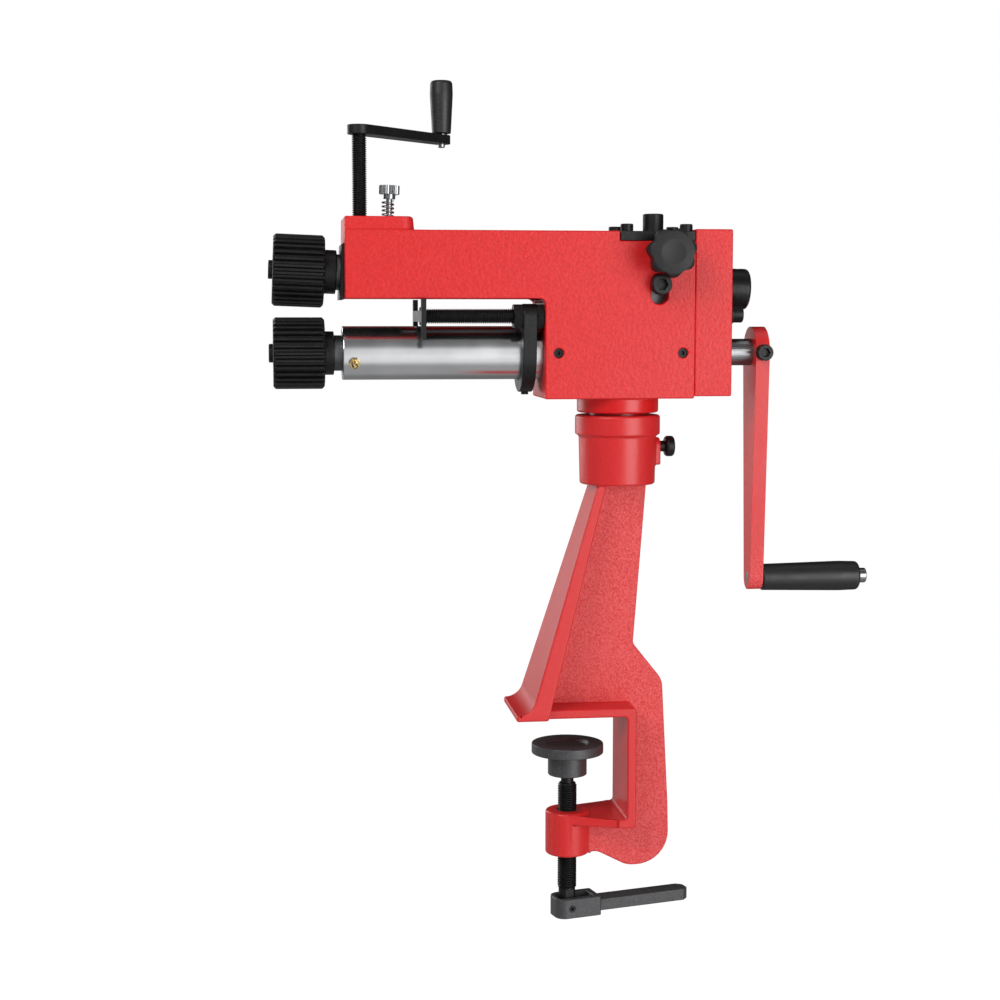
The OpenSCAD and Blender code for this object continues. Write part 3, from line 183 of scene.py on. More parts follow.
def emboss(tree, shader, heights, depth):
    """Raises the surface by the given depth in metres, stacking one bump on the next."""
    normal = None
    for height, share in heights:
        bump = add(tree, "ShaderNodeBump", {"Height": height, "Distance": depth * share, "Strength": 1.0})
        if normal is not None:
            tree.links.new(normal, bump.inputs["Normal"])
        normal = bump.outputs[0]
    tree.links.new(normal, shader.inputs["Normal"])


print("ready to make finishes")

# %% [markdown]
# ## Where a casting is smooth
#
# Sand leaves its grain wherever it touched the iron, but faces that were turned or fettled come out smooth
# under the enamel. On the stand that leaves the grain on the web's two broad sides, and on the head
# everywhere but on the turned flange below it. A shader knows no face by its name, only where a point lies
# and which way it faces. So each limit is a soft step in a height, a width or a direction, and the
# largest of them counts. A face's direction is the sideways part of its normal: one on the web's sides,
# and nought on a face that looks forwards, backwards, up or down.

# %% Tell smooth places from rough ones
ZONE_BLEND = 6 * MM
LOOKS_ASIDE = 0.8
LOOKS_AHEAD = 0.5


def smooth_zones(tree, low, high, half_web=None):
    """One where a casting is smooth: outside two heights and, where it has a web, off the web's sides."""
    place = add(tree, "ShaderNodeTexCoord").outputs
    at = add(tree, "ShaderNodeSeparateXYZ", {0: place["Object"]}).outputs
    limits = [(at[2], low + ZONE_BLEND, low), (at[2], high - ZONE_BLEND, high)]
    if half_web is not None:
        facing = add(tree, "ShaderNodeSeparateXYZ", {0: place["Normal"]}).outputs
        width = add(tree, "ShaderNodeMath", {0: at[1]}, operation="ABSOLUTE").outputs[0]
        aside = add(tree, "ShaderNodeMath", {0: facing[1]}, operation="ABSOLUTE").outputs[0]
        limits.append((width, half_web + ZONE_BLEND / 2, half_web + ZONE_BLEND))
        limits.append((aside, LOOKS_ASIDE, LOOKS_AHEAD))
    smooth = 0.0
    for value, rough_at, smooth_at in limits:
        limit = add(tree, "ShaderNodeMapRange", {"Value": value, "From Min": rough_at,
                                                 "From Max": smooth_at}).outputs[0]
        smooth = add(tree, "ShaderNodeMath", {0: smooth, 1: limit}, operation="MAXIMUM").outputs[0]
    return smooth


print(f"rough turns to smooth over {ZONE_BLEND / MM:.0f} mm")

# %% [markdown]
# ## Red enamel over a sand casting
#
# Sand leaves grains of about half a millimetre in iron, and enamel fills the finest of them. What is left
# is an even orange peel, whose peaks are painted paler as a painted highlight of the soft lights' glints.
# Where the paint pooled, the gloss changes a little.

# %% Red enamel
SAND_GRAIN = 0.75 * MM
GRAIN_DEPTH = 0.5 * MM
GRAIN_LEFT = 0.12
FINE_SHARE = 0.3
SAND_DULLS = 0.12
PAINT_POOLS = 30 * MM
POOLS_DULL = 0.06


def sand_cast_enamel(name, size, depth, roughness, colours, zones):
    """Satin red enamel: grain of a size and depth in metres, peaks with painted highlight, faint where
    smooth.
    """
    material, tree, shader = finish(name, IOR=1.5)
    rough = add(tree, "ShaderNodeMapRange", {"Value": smooth_zones(tree, *zones), "To Min": 1.0,
                                             "To Max": GRAIN_LEFT}).outputs[0]
    grain = lumps(tree, size, detail=3.0)
    fine = lumps(tree, size / 2, detail=1.0)
    # The grain's peaks take the paler colour, a painted highlight, which fades where the casting is smooth.
    tint(tree, shader, spread(tree, grain, rough), *colours)
    pools = spread(tree, lumps(tree, PAINT_POOLS), POOLS_DULL)
    gloss = add(tree, "ShaderNodeMath", {0: rough, 1: SAND_DULLS, 2: roughness - SAND_DULLS},
                operation="MULTIPLY_ADD")
    total = add(tree, "ShaderNodeMath", {0: gloss.outputs[0], 1: pools}, operation="ADD")
    tree.links.new(total.outputs[0], shader.inputs["Roughness"])
    heights = []
    for height, share in ((grain, 1.0), (fine, FINE_SHARE)):
        level = add(tree, "ShaderNodeMath", {0: height, 1: 0.5}, operation="SUBTRACT")
        faded = add(tree, "ShaderNodeMath", {0: level.outputs[0], 1: rough}, operation="MULTIPLY")
        heights.append((faded.outputs[0], share))
    emboss(tree, shader, heights, depth)
    return material


print(f"enamel with a grain of {SAND_GRAIN / MM} mm")

# %% [markdown]
# ## One enamel for the stand and one for the head
#
# Under a large soft light each lump shows a pale side, which is why the stand's red looks pinkish from the
# front. Here that pale side is painted into the colour, as a painted highlight on the grain's peaks. The
# head's large faces were ground before they were painted, so their grain is wider and shallower and their
# red stays deeper, with a fainter painted highlight. The stand's grain is drawn at three quarters of a
# millimetre, coarser than real, because a finer one would not show.

# %% Mix both enamels
HEAD_GRAIN = 1.7 * SAND_GRAIN
HEAD_GRAIN_DEPTH = 0.55 * GRAIN_DEPTH
SOCKET_FOOT = 190 * MM
HALF_WEB = 6 * MM
HEAD_BOTTOM = 258 * MM
NO_LIMIT = 1.0  # a metre up or down, past every part

# Each pair of colours: the red, and the paler red of the painted highlight on the grain's peaks.
stand_enamel = sand_cast_enamel("sand_cast_enamel_coarse", SAND_GRAIN, GRAIN_DEPTH, roughness=0.42,
                                colours=("#cf1e20", "#ea5a5a"), zones=(-NO_LIMIT, SOCKET_FOOT, HALF_WEB))
head_enamel = sand_cast_enamel("sand_cast_enamel_ground", HEAD_GRAIN, HEAD_GRAIN_DEPTH, roughness=0.38,
                               colours=("#cf1012", "#de1e20"), zones=(HEAD_BOTTOM, NO_LIMIT))
print("enamels for the stand and the head made")

# %% [markdown]
# ## Black steels
#
# Screws, rolls and the bridge plate are black oxide: a bath turns the steel's own skin black, so turning
# marks stay sharp and the oil in it gives a soft sheen. The clamp's lever and pad are forged and
# phosphated instead, which is greyer, rougher and finely grained, over the forging's shallow dents. Specks
# and crystals are far finer than this on real steel, and are drawn coarse enough to show.

# %% Black oxide and phosphated steel
OXIDE_SPECKS = 0.8 * MM
OXIDE_STAINS = 6 * MM
OXIDE_SHINIER = 0.06
OXIDE_DULLER = 0.1
OXIDE_RELIEF = 0.03 * MM
PHOSPHATE_CRYSTALS = 0.5 * MM
PHOSPHATE_STAINS = 4 * MM
FORGING_DENTS = 3 * MM
DENT_SHARE = 1.5
FORGING_RELIEF = 0.08 * MM


def black_oxide(name, low, high, roughness):
    """Oiled black oxide on machined steel."""
    material, tree, shader = finish(name, Metallic=0.55)
    specks = lumps(tree, OXIDE_SPECKS, detail=3.0)
    tint(tree, shader, spread(tree, specks), low, high)
    dull(tree, shader, lumps(tree, OXIDE_STAINS), roughness - OXIDE_SHINIER, roughness + OXIDE_DULLER)
    emboss(tree, shader, [(specks, 1.0)], OXIDE_RELIEF)
    return material


def phosphated_forging(name, low, high, smoothest, roughest):
    """Grey-black phosphate on a forging, with a fine crystal grain."""
    material, tree, shader = finish(name, Metallic=0.2)
    crystals = lumps(tree, PHOSPHATE_CRYSTALS, detail=3.0)
    tint(tree, shader, spread(tree, crystals), low, high)
    dull(tree, shader, lumps(tree, PHOSPHATE_STAINS), smoothest, roughest)
    emboss(tree, shader, [(crystals, 1.0), (lumps(tree, FORGING_DENTS), DENT_SHARE)], FORGING_RELIEF)
    return material


oxide = black_oxide("black_oxide_machined", "#161617", "#252527", roughness=0.38)
phosphate = phosphated_forging("phosphated_forging", "#38383a", "#525254", smoothest=0.36, roughest=0.46)
print("black oxide and phosphate made")

# %% [markdown]
# ## Moulded plastic
#
# The star knob and both grips are moulded in a spark-eroded tool. Its pits come out as a fine even grain
# that breaks the highlight without hiding it. Real pits are about a tenth of a millimetre wide, and are
# drawn at 0.4 mm so that they show. The knob's plastic is darker and duller than the grips'.

# %% Black plastic
MOULD_GRAIN = 0.4 * MM
MOULD_STAINS = 8 * MM
MOULD_SHINIER = 0.04
MOULD_DULLER = 0.07
MOULD_RELIEF = 0.035 * MM


def moulded_plastic(name, colour, lighter, roughness):
    """Black thermoplastic with a tool's fine grain."""
    material, tree, shader = finish(name, IOR=1.49)
    grain = lumps(tree, MOULD_GRAIN, detail=1.0)
    tint(tree, shader, spread(tree, grain), colour, lighter)
    dull(tree, shader, lumps(tree, MOULD_STAINS), roughness - MOULD_SHINIER, roughness + MOULD_DULLER)
    emboss(tree, shader, [(grain, 1.0)], MOULD_RELIEF)
    return material


plastic = moulded_plastic("moulded_black_plastic", "#161617", "#202022", roughness=0.4)
knob_plastic = moulded_plastic("moulded_knob_plastic", "#0f0f10", "#161617", roughness=0.55)
print(f"plastic with a {MOULD_GRAIN / MM} mm grain")

# %% [markdown]
# ## Turned and plated metals
#
# A lathe tool leaves rings of a tenth or two of a millimetre round a shaft, drawn here at 0.35 mm so that
# they show. They stretch the highlight along the shaft's axis, so the noise is squeezed along X and left
# long around it. The barrel is polished after turning, so only faint rings are left. Zinc plate is bright
# and slightly blue. The nipple and the bushes are brass and bronze, whose colour comes from the copper in
# them, and the gears are plain machined iron.

# %% Bright metals
RING_SPACING = 0.35 * MM
METAL_STAINS = 12 * MM
METAL_SHINIER = 0.03
METAL_DULLER = 0.05
ALONG_X = (1.0, 0.04, 0.04)


def turned_metal(name, low, high, roughness, rings, stretch=ALONG_X):
    """Bare metal with turning rings of the given height in metres."""
    material, tree, shader = finish(name, Metallic=1.0)
    marks = lumps(tree, RING_SPACING, stretch=stretch)
    stains = lumps(tree, METAL_STAINS, detail=3.0)
    tint(tree, shader, spread(tree, stains), low, high)
    dull(tree, shader, stains, roughness - METAL_SHINIER, roughness + METAL_DULLER)
    emboss(tree, shader, [(marks, 1.0)], rings)
    return material


polished = turned_metal("polished_barrel_steel", "#d4d5d7", "#e0e1e3", 0.2, rings=0.006 * MM)
ground = turned_metal("ground_shaft_steel", "#828385", "#959698", 0.3, rings=0.012 * MM)
zinc = turned_metal("bright_zinc_plate", "#8f9295", "#b6b9bc", 0.27, rings=0.01 * MM, stretch=EVEN)
brass = turned_metal("turned_brass", "#c0a870", "#dac694", 0.24, rings=0.01 * MM, stretch=EVEN)
bronze = turned_metal("bearing_bronze", "#8a6230", "#a0763c", 0.34, rings=0.015 * MM)
iron = turned_metal("machined_iron", "#5c5d5f", "#707173", 0.4, rings=0.02 * MM)
print("five turned metals and a plated one made")

# %% [markdown]
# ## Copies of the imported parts
#
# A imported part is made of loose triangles, which no bevel can round. So a copy of it is merged into one
# skin, and the triangles of each flat face are joined up.

# %% Copy a part
WELD = 0.004 * MM
FLAT = math.radians(0.5)


def join_flats(shape):
    """Merges a bmesh's doubled points and joins up its flat faces."""
    bmesh.ops.remove_doubles(shape, verts=shape.verts, dist=WELD)
    bmesh.ops.dissolve_limit(shape, angle_limit=FLAT, verts=shape.verts, edges=shape.edges)
    return shape


def clean_copy(node):
    """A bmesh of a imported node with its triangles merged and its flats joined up."""
    shape = bmesh.new()
    shape.from_mesh(nodes[node].data)
    return join_flats(shape)


print(f"copies are welded at {WELD / MM} mm")

# %% [markdown]
# ## Showing a piece
#
# A piece is shaded smooth, but for edges that turn by more than the steps that its arcs are made of.
# Whatever is shown in a part's place rides on the same body as the part and takes the slot of its finish.

# %% Show a piece
ARC_STEP = math.radians(26)


def as_mesh(shape, name):
    """Ends a bmesh and gives it as a mesh, smooth but for its sharp edges."""
    mesh = bpy.data.meshes.new(name)
    shape.to_mesh(mesh)
    shape.free()
    mesh.shade_smooth()
    mesh.set_sharp_from_angle(angle=ARC_STEP)
    return mesh


def show(name, mesh, material, node):
    """A new object that rides on a node's body and takes its finish's slot."""
    mesh.materials.clear()
    mesh.materials.append(material)
    piece = bpy.data.objects.new(name, mesh)
    bpy.context.scene.collection.objects.link(piece)
    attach(piece, body_of[node])
    return piece


# %% [markdown]
# ## Rounded edges
#
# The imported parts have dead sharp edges. Real ones never do: a casting has a rounded edge of a millimetre
# or more, and machined steel has its burrs broken at a few tenths. Only edges that turn by more than the
# arcs' own steps get a weight for the Bevel modifier. A pattern maker runs wax into the long inner corners
# of a casting, so there the weight is full. Weighted normals keep the flats flat. A few parts have faces
# narrower than their rounding, and there the bevel is clamped, or its corners would shoot out of the part.

# %% Round the edges of a part
LONG_CORNER = 20 * MM
TIGHT = ("crank_arm", "gauge_nuts", "star_knob", "spring_stud")


def weigh_edges(shape, rounding, fillet):
    """Weighs sharp edges for the Bevel: long inner corners fully, all others by their smaller rounding."""
    weights = shape.edges.layers.float.new("bevel_weight_edge")
    for edge in shape.edges:
        turn = edge.calc_face_angle_signed(0)
        if abs(turn) > ARC_STEP:
            filleted = turn < 0 and edge.calc_length() > LONG_CORNER
            edge[weights] = 1.0 if filleted else rounding / fillet


def dress(node, material, rounding, fillet=None, segments=2, shape=None):
    """Shows a node by a copy, or another shape, with rounded edges, filleted corners and a finish."""
    if shape is None:
        shape = clean_copy(node)
    weigh_edges(shape, rounding, fillet or rounding)
    piece = show(f"{node}_finished", as_mesh(shape, node), material, node)
    bevel = piece.modifiers.new("rounded_edges", "BEVEL")
    bevel.width = fillet or rounding
    bevel.segments = segments
    bevel.limit_method = "WEIGHT"
    bevel.use_clamp_overlap = node in TIGHT
    flats = piece.modifiers.new("flat_faces", "WEIGHTED_NORMAL")
    flats.keep_sharp = True
    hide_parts(node)
    return piece


print(f"{len(TIGHT)} parts get a clamped bevel")

# %% [markdown]
# ## The raised platform
#
# The platform that carries the pressure screw is set in from the arm's sides, leans in a little there and
# at its rear, and has two rounded rear corners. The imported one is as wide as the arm. So a cutter takes
# away what is too much. Seen from above it is a U that lies round the platform, open to the front.

# %% Draw the U round the platform
PLATFORM_LENGTH = 55.5 * MM
PLATFORM_HEIGHT = 10.55 * MM
PLATFORM_INSET = 2.4 * MM
PLATFORM_DRAFT = 0.9 * MM
PLATFORM_CORNER = 9 * MM
CORNER_STEPS = 8
PAST_FRONT = 5 * MM
PAST_REAR = 15 * MM


def surround_outline(draft):
    """The U round the platform, seen from above, with its inner walls drawn in by a draft."""
    low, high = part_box("head_casting")
    front = low.x - PAST_FRONT
    back = low.x + PLATFORM_LENGTH
    rear = back + PAST_REAR
    wide = 2 * high.y
    half = high.y - PLATFORM_INSET
    places = [(front, -wide), (rear, -wide), (rear, wide), (front, wide), (front, half - draft)]
    for side in (1, -1):
        for step in range(CORNER_STEPS + 1):
            share = step if side == 1 else CORNER_STEPS - step
            angle = math.pi / 2 * (1 - share / CORNER_STEPS)
            places.append((back - draft - PLATFORM_CORNER * (1 - math.cos(angle)),
                           side * (half - draft - PLATFORM_CORNER * (1 - math.sin(angle)))))
    places.append((front, draft - half))
    return places


print(f"a U of {len(surround_outline(0.0))} points")

# %% [markdown]
# ## Cutting the platform free
#
# The cutter is a block between two outlines: one at the platform's foot, and a drawn-in one above its top.
# That gives its inner walls their draft. An exact Boolean leaves clean faces for the bevel, once the flat
# ones are joined up again.

# %% Cut round the platform
def platform_surround():
    """A cutter of all that is round the raised platform above the arm."""
    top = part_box("head_casting")[1].z
    shape = bmesh.new()
    rings = []
    for height, draft in ((top - PLATFORM_HEIGHT, 0.0), (top + PLATFORM_HEIGHT, 2 * PLATFORM_DRAFT)):
        rings.append([shape.verts.new((x, y, height)) for x, y in surround_outline(draft)])
    foot, head = rings
    shape.faces.new(foot[::-1])
    shape.faces.new(head)
    for i in range(len(foot)):
        after = (i + 1) % len(foot)
        shape.faces.new((foot[i], foot[after], head[after], head[i]))
    bmesh.ops.recalc_face_normals(shape, faces=shape.faces)
    return shape


def cut_away(shape, cutter):
    """Takes a cutter's volume out of a bmesh, and ends the cutter."""
    solids = []
    for name, solid in (("blank", shape), ("cutter", cutter)):
        mesh = bpy.data.meshes.new(name)
        solid.to_mesh(mesh)
        solid.free()
        solids.append(bpy.data.objects.new(name, mesh))
        bpy.context.scene.collection.objects.link(solids[-1])
    cut = solids[0].modifiers.new("cut", "BOOLEAN")
    cut.operation = "DIFFERENCE"
    cut.solver = "EXACT"
    cut.object = solids[1]
    left = bmesh.new()
    left.from_object(solids[0], bpy.context.evaluated_depsgraph_get())
    for solid in solids:
        bpy.data.objects.remove(solid)
    return join_flats(left)


head_shape = cut_away(clean_copy("head_casting"), platform_surround())
print(f"head casting cut round its platform, {len(head_shape.faces)} faces left")

# %% [markdown]
# ## Dressing the castings
#
# The stand is one rough casting with wax fillets. The head and its gear cover are machined where they
# meet, so their edges are crisper. The crank arm is a small casting of the same iron as the stand.

# %% Dress the castings
CAST_EDGE = 1.4 * MM
CAST_FILLET = 1.8 * MM
COVER_EDGE = 1.0 * MM

dress("stand_casting", stand_enamel, CAST_EDGE, CAST_FILLET, segments=3)
dress("head_casting", head_enamel, COVER_EDGE, segments=3, shape=head_shape)
dress("rear_cover", head_enamel, COVER_EDGE, segments=3)
dress("crank_arm", stand_enamel, CAST_EDGE, segments=3)
print("four castings dressed")

# %% [markdown]
# ## Plates, collars and screws
#
# These are small and come in families, so a table says what each is made of and how far its edges are
# broken: most on moulded and forged parts, less on plates, and least on what a lathe turned.

# %% Dress the machined parts
PLATE_EDGE = 0.5 * MM
TURNED_EDGE = 0.25 * MM
FORGED_EDGE = 0.7 * MM
MOULDED_EDGE = 1.0 * MM
NIPPLE_EDGE = 0.15 * MM

DRESSED = {
    oxide: {"bridge_plate": PLATE_EDGE, "front_block": PLATE_EDGE, "upper_roll": TURNED_EDGE,
            "lower_roll": TURNED_EDGE, "upper_spacer": TURNED_EDGE, "lower_spacer": TURNED_EDGE,
            "rear_collar": TURNED_EDGE, "gauge_lug": PLATE_EDGE, "gauge_nuts": TURNED_EDGE,
            "gauge_fork": TURNED_EDGE, "pressure_crank": PLATE_EDGE, "bridge_screws": TURNED_EDGE,
            "pivot_adjust_screw": TURNED_EDGE, "cover_screws": TURNED_EDGE,
            "trunnion_screws": TURNED_EDGE, "crank_arm_screw": TURNED_EDGE,
            "socket_lock_screw": TURNED_EDGE, "upper_roll_screw": TURNED_EDGE,
            "lower_roll_screw": TURNED_EDGE},
    phosphate: {"clamp_lever": FORGED_EDGE, "clamp_pad": PLATE_EDGE},
    plastic: {"crank_grip": PLATE_EDGE, "pressure_grip": PLATE_EDGE},
    knob_plastic: {"star_knob": MOULDED_EDGE},
    polished: {"lower_barrel": TURNED_EDGE},
    ground: {"lower_shaft": TURNED_EDGE, "upper_shaft": TURNED_EDGE},
    zinc: {"spring_stud": TURNED_EDGE, "crank_pin": TURNED_EDGE, "pressure_grip_pin": TURNED_EDGE},
    brass: {"grease_nipple": NIPPLE_EDGE},
}
for material, parts in DRESSED.items():
    for node, width in parts.items():
        dress(node, material, width)
print(f"{sum(len(parts) for parts in DRESSED.values())} parts dressed")

# %% [markdown]
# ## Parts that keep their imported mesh
#
# Parts inside the housings can't be seen, and some pins and set screws are too small for a broken edge to
# show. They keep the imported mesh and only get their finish.

# %% Finish the kept parts
KEPT = {
    oxide: ["gauge_lug_screw", "rear_collar_screw", "bearing_set_screws", "clamp_lever_pin"],
    zinc: ["star_knob_stud"],
    bronze: ["lower_rear_bush", "cover_bush", "rear_block_bush"],
    iron: ["barrel_front_bush", "front_block_bush", "rear_block", "upper_gear", "lower_gear"],
    head_enamel: ["head_spigot"],
    ground: ["upper_keys", "lower_keys", "thrust_button"],
}
for material, kept in KEPT.items():
    for node in kept:
        nodes[node].data.materials.clear()
        nodes[node].data.materials.append(material)
print(f"{sum(len(kept) for kept in KEPT.values())} parts keep their mesh")

# %% [markdown]
# ## Tools for Geometry Nodes
#
# A tree is a recipe with named inputs. The function below makes one and hands back its input sockets. A
# second function runs a tree on an empty object with a part's own sizes, and takes the result as a plain
# mesh, because an exported model keeps no instances and no modifier.

# %% Make and run a tree
FLOAT = "NodeSocketFloat"
WHOLE = "NodeSocketInt"


def recipe(name, inputs):
    """A node tree with named inputs, which all hold a material as well."""
    tree = bpy.data.node_groups.new(name, "GeometryNodeTree")
    for label, kind in inputs + [("Finish", "NodeSocketMaterial")]:
        tree.interface.new_socket(label, in_out="INPUT", socket_type=kind)
    tree.interface.new_socket("Geometry", in_out="OUTPUT", socket_type="NodeSocketGeometry")
    return tree, add(tree, "NodeGroupInput").outputs


def serve(tree, geometry, given):
    """Ends a tree: real instances, one finish, and out."""
    real = add(tree, "GeometryNodeRealizeInstances", {"Geometry": geometry})
    done = add(tree, "GeometryNodeSetMaterial", {"Geometry": real.outputs[0],
                                                 "Material": given["Finish"]})
    add(tree, "NodeGroupOutput", {"Geometry": done.outputs[0]})


def cook(tree, sizes, material):
    """Runs a tree with the given sizes and gives its plain mesh."""
    carrier = bpy.data.objects.new("carrier", bpy.data.meshes.new("carrier"))
    bpy.context.scene.collection.objects.link(carrier)
    modifier = carrier.modifiers.new("recipe", "NODES")
    modifier.node_group = tree
    for item in tree.interface.items_tree:
        if item.in_out == "INPUT":
            modifier[item.identifier] = material if item.name == "Finish" else sizes[item.name]
    evaluated = carrier.evaluated_get(bpy.context.evaluated_depsgraph_get())
    mesh = bpy.data.meshes.new_from_object(evaluated)
    bpy.data.objects.remove(carrier)
    return mesh


print("ready to make trees")

# %% [markdown]
# ## Screw threads
#
# A thread is one ridge wound round a rod, so the rod's radius depends only on how far a point has gone
# up and how far round: height over pitch, less the share of a turn. The fraction of that number runs
# from crest to crest. So the tree makes a plain rod with eight rings to a pitch, and works out how high on
# the ridge each of its points lies: one on the flat crest and nought at the root.

# %% The thread tree's ridge
RINGS_A_PITCH = 8
SIDES = 36
CREST_SHARE = 0.8
ROOT_SHARE = 0.15
COARSE_PITCH = {0.012: 1.75 * MM, 0.016: 2.0 * MM}  # by diameter in metres
DEPTH_SHARE = 0.61

thread_tree, given = recipe("screw_thread", [("Length", FLOAT), ("Radius", FLOAT), ("Pitch", FLOAT),
                                             ("Depth", FLOAT)])
turns = add(thread_tree, "ShaderNodeMath", {0: given["Length"], 1: given["Pitch"]}, operation="DIVIDE")
rings = add(thread_tree, "ShaderNodeMath", {0: turns.outputs[0], 1: RINGS_A_PITCH}, operation="MULTIPLY")
rod = add(thread_tree, "GeometryNodeMeshCylinder", {"Vertices": SIDES, "Side Segments": rings.outputs[0],
                                                    "Radius": given["Radius"],
                                                    "Depth": given["Length"]})
place = add(thread_tree, "ShaderNodeSeparateXYZ",
            {0: add(thread_tree, "GeometryNodeInputPosition").outputs[0]}).outputs
angle = add(thread_tree, "ShaderNodeMath", {0: place[1], 1: place[0]}, operation="ARCTAN2")
share = add(thread_tree, "ShaderNodeMath", {0: angle.outputs[0], 1: 2 * math.pi}, operation="DIVIDE")
climb = add(thread_tree, "ShaderNodeMath", {0: place[2], 1: given["Pitch"]}, operation="DIVIDE")
wound = add(thread_tree, "ShaderNodeMath", {0: climb.outputs[0], 1: share.outputs[0]},
            operation="SUBTRACT")
wave = add(thread_tree, "ShaderNodeMath", {0: wound.outputs[0], 1: 0.5}, operation="PINGPONG")
ridge = add(thread_tree, "ShaderNodeMapRange", {"Value": wave.outputs[0], "From Min": ROOT_SHARE / 2,
                                                "From Max": CREST_SHARE / 2})
print(f"{RINGS_A_PITCH} rings to a pitch, {SIDES} sides")

# %% [markdown]
# ## Sinking the flanks
#
# Each point now sinks towards the rod's axis by what its ridge lacks, times the thread's depth. The last
# turn at both ends runs out into the chamfer, as a die leaves it: there the ridge fades away.

# %% The thread tree's run-out and cut
up = add(thread_tree, "ShaderNodeMath", {0: place[2]}, operation="ABSOLUTE")
half = add(thread_tree, "ShaderNodeMath", {0: given["Length"], 1: 2.0}, operation="DIVIDE")
left = add(thread_tree, "ShaderNodeMath", {0: half.outputs[0], 1: up.outputs[0]}, operation="SUBTRACT")
run_out = add(thread_tree, "ShaderNodeMath", {0: left.outputs[0], 1: given["Pitch"]}, operation="DIVIDE",
              use_clamp=True)
kept = add(thread_tree, "ShaderNodeMath", {0: ridge.outputs[0], 1: run_out.outputs[0]},
           operation="MULTIPLY")
lost = add(thread_tree, "ShaderNodeMath", {0: kept.outputs[0], 1: 1.0}, operation="SUBTRACT")
sink = add(thread_tree, "ShaderNodeMath", {0: lost.outputs[0], 1: given["Depth"]}, operation="MULTIPLY")
flat = add(thread_tree, "ShaderNodeCombineXYZ", {0: place[0], 1: place[1]})
outward = add(thread_tree, "ShaderNodeVectorMath", {0: flat.outputs[0]}, operation="NORMALIZE")
shift = add(thread_tree, "ShaderNodeVectorMath", {0: outward.outputs[0], "Scale": sink.outputs[0]},
            operation="SCALE")
cut = add(thread_tree, "GeometryNodeSetPosition", {"Geometry": rod.outputs["Mesh"],
                                                   "Offset": shift.outputs[0]})
smooth = add(thread_tree, "GeometryNodeSetShadeSmooth", {"Geometry": cut.outputs[0]})
serve(thread_tree, smooth.outputs[0], given)
print(f"thread tree of {len(thread_tree.nodes)} nodes")

# %% [markdown]
# ## The three threaded rods
#
# The pressure screw and the depth stop's rod are M12 and the clamp's is M16, all with their coarse
# pitch. A thread takes the place of the plain stretch of its node. What the node has besides, such as a
# dog point or a flattened end, is kept by cutting the stretch out of a copy.

# %% Helpers for a threaded rod
AXES = {"x": Matrix.Rotation(math.pi / 2, 4, "Y"), "z": Matrix.Identity(4)}


def thread_between(low, high, radius, axis, material):
    """A thread's mesh from one point to another along an axis."""
    pitch = COARSE_PITCH[round(2 * radius, 4)]
    mesh = cook(thread_tree, {"Length": (high - low).length, "Radius": radius, "Pitch": pitch,
                              "Depth": DEPTH_SHARE * pitch}, material)
    mesh.transform(Matrix.Translation((low + high) / 2) @ AXES[axis])
    return mesh


def keep_outside(node, low, high):
    """A copy of an upright node without its stretch between two heights, closed at the cuts."""
    shape = clean_copy(node)
    whole = shape.copy()
    for part, height, facing in ((shape, low, 1), (whole, high, -1)):
        everything = part.verts[:] + part.edges[:] + part.faces[:]
        cut = bmesh.ops.bisect_plane(part, geom=everything, plane_co=(0, 0, height),
                                     plane_no=(0, 0, facing), clear_outer=True)
        rim = [e for e in cut["geom_cut"] if isinstance(e, bmesh.types.BMEdge)]
        if rim:
            bmesh.ops.contextual_create(part, geom=rim)
    above = bpy.data.meshes.new("above")
    whole.to_mesh(above)
    whole.free()
    shape.from_mesh(above)
    return shape


def threaded(node, low, high, radius, axis, shape):
    """Shows a node by its thread, joined with what else the node has."""
    shape.from_mesh(thread_between(low, high, radius, axis, oxide))
    piece = show(f"{node}_threaded", as_mesh(shape, node), oxide, node)
    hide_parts(node)
    return piece


print(f"coarse pitches of {[round(pitch / MM, 2) for pitch in COARSE_PITCH.values()]} mm")

# %% [markdown]
# ## Where the threads run
#
# The pressure screw ends in a turned-down dog point, and the clamp screw has a flattened end below for its
# lever and a neck above for its pad. So the threads of both start and stop short of those. The depth
# stop's rod is threaded from end to end.

# %% Thread the rods
DOG_LENGTH = 4.6 * MM
DOG_OVERLAP = 0.5 * MM
CLAMP_END_LENGTH = 19 * MM
CLAMP_NECK_LENGTH = 16.7 * MM
M12_RADIUS = 6 * MM
M16_RADIUS = 8 * MM

low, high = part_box("pressure_screw")
middle = (low + high) / 2
threaded("pressure_screw", Vector((middle.x, middle.y, low.z + DOG_LENGTH - DOG_OVERLAP)),
         Vector((middle.x, middle.y, high.z)), M12_RADIUS, "z",
         keep_outside("pressure_screw", low.z + DOG_LENGTH, high.z))
low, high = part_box("clamp_screw")
thread_low, thread_high = low.z + CLAMP_END_LENGTH, high.z - CLAMP_NECK_LENGTH
threaded("clamp_screw", Vector((0, 0, thread_low)), Vector((0, 0, thread_high)), M16_RADIUS, "z",
         keep_outside("clamp_screw", thread_low, thread_high))
low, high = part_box("gauge_rod")
middle = (low + high) / 2
threaded("gauge_rod", Vector((low.x, middle.y, middle.z)), Vector((high.x, middle.y, middle.z)),
         M12_RADIUS, "x", bmesh.new())
print("three rods threaded")

# %% [markdown]
# ## Return spring
#
# A spring is a wire wound on a mandrel: a circle swept along a helix. Its height comes from the packed
# spring, so the wire rests in the same pocket and ends under the knob. The rocker presses on it.

# %% The spring tree
COIL_STEPS = 24
WIRE_SIDES = 12

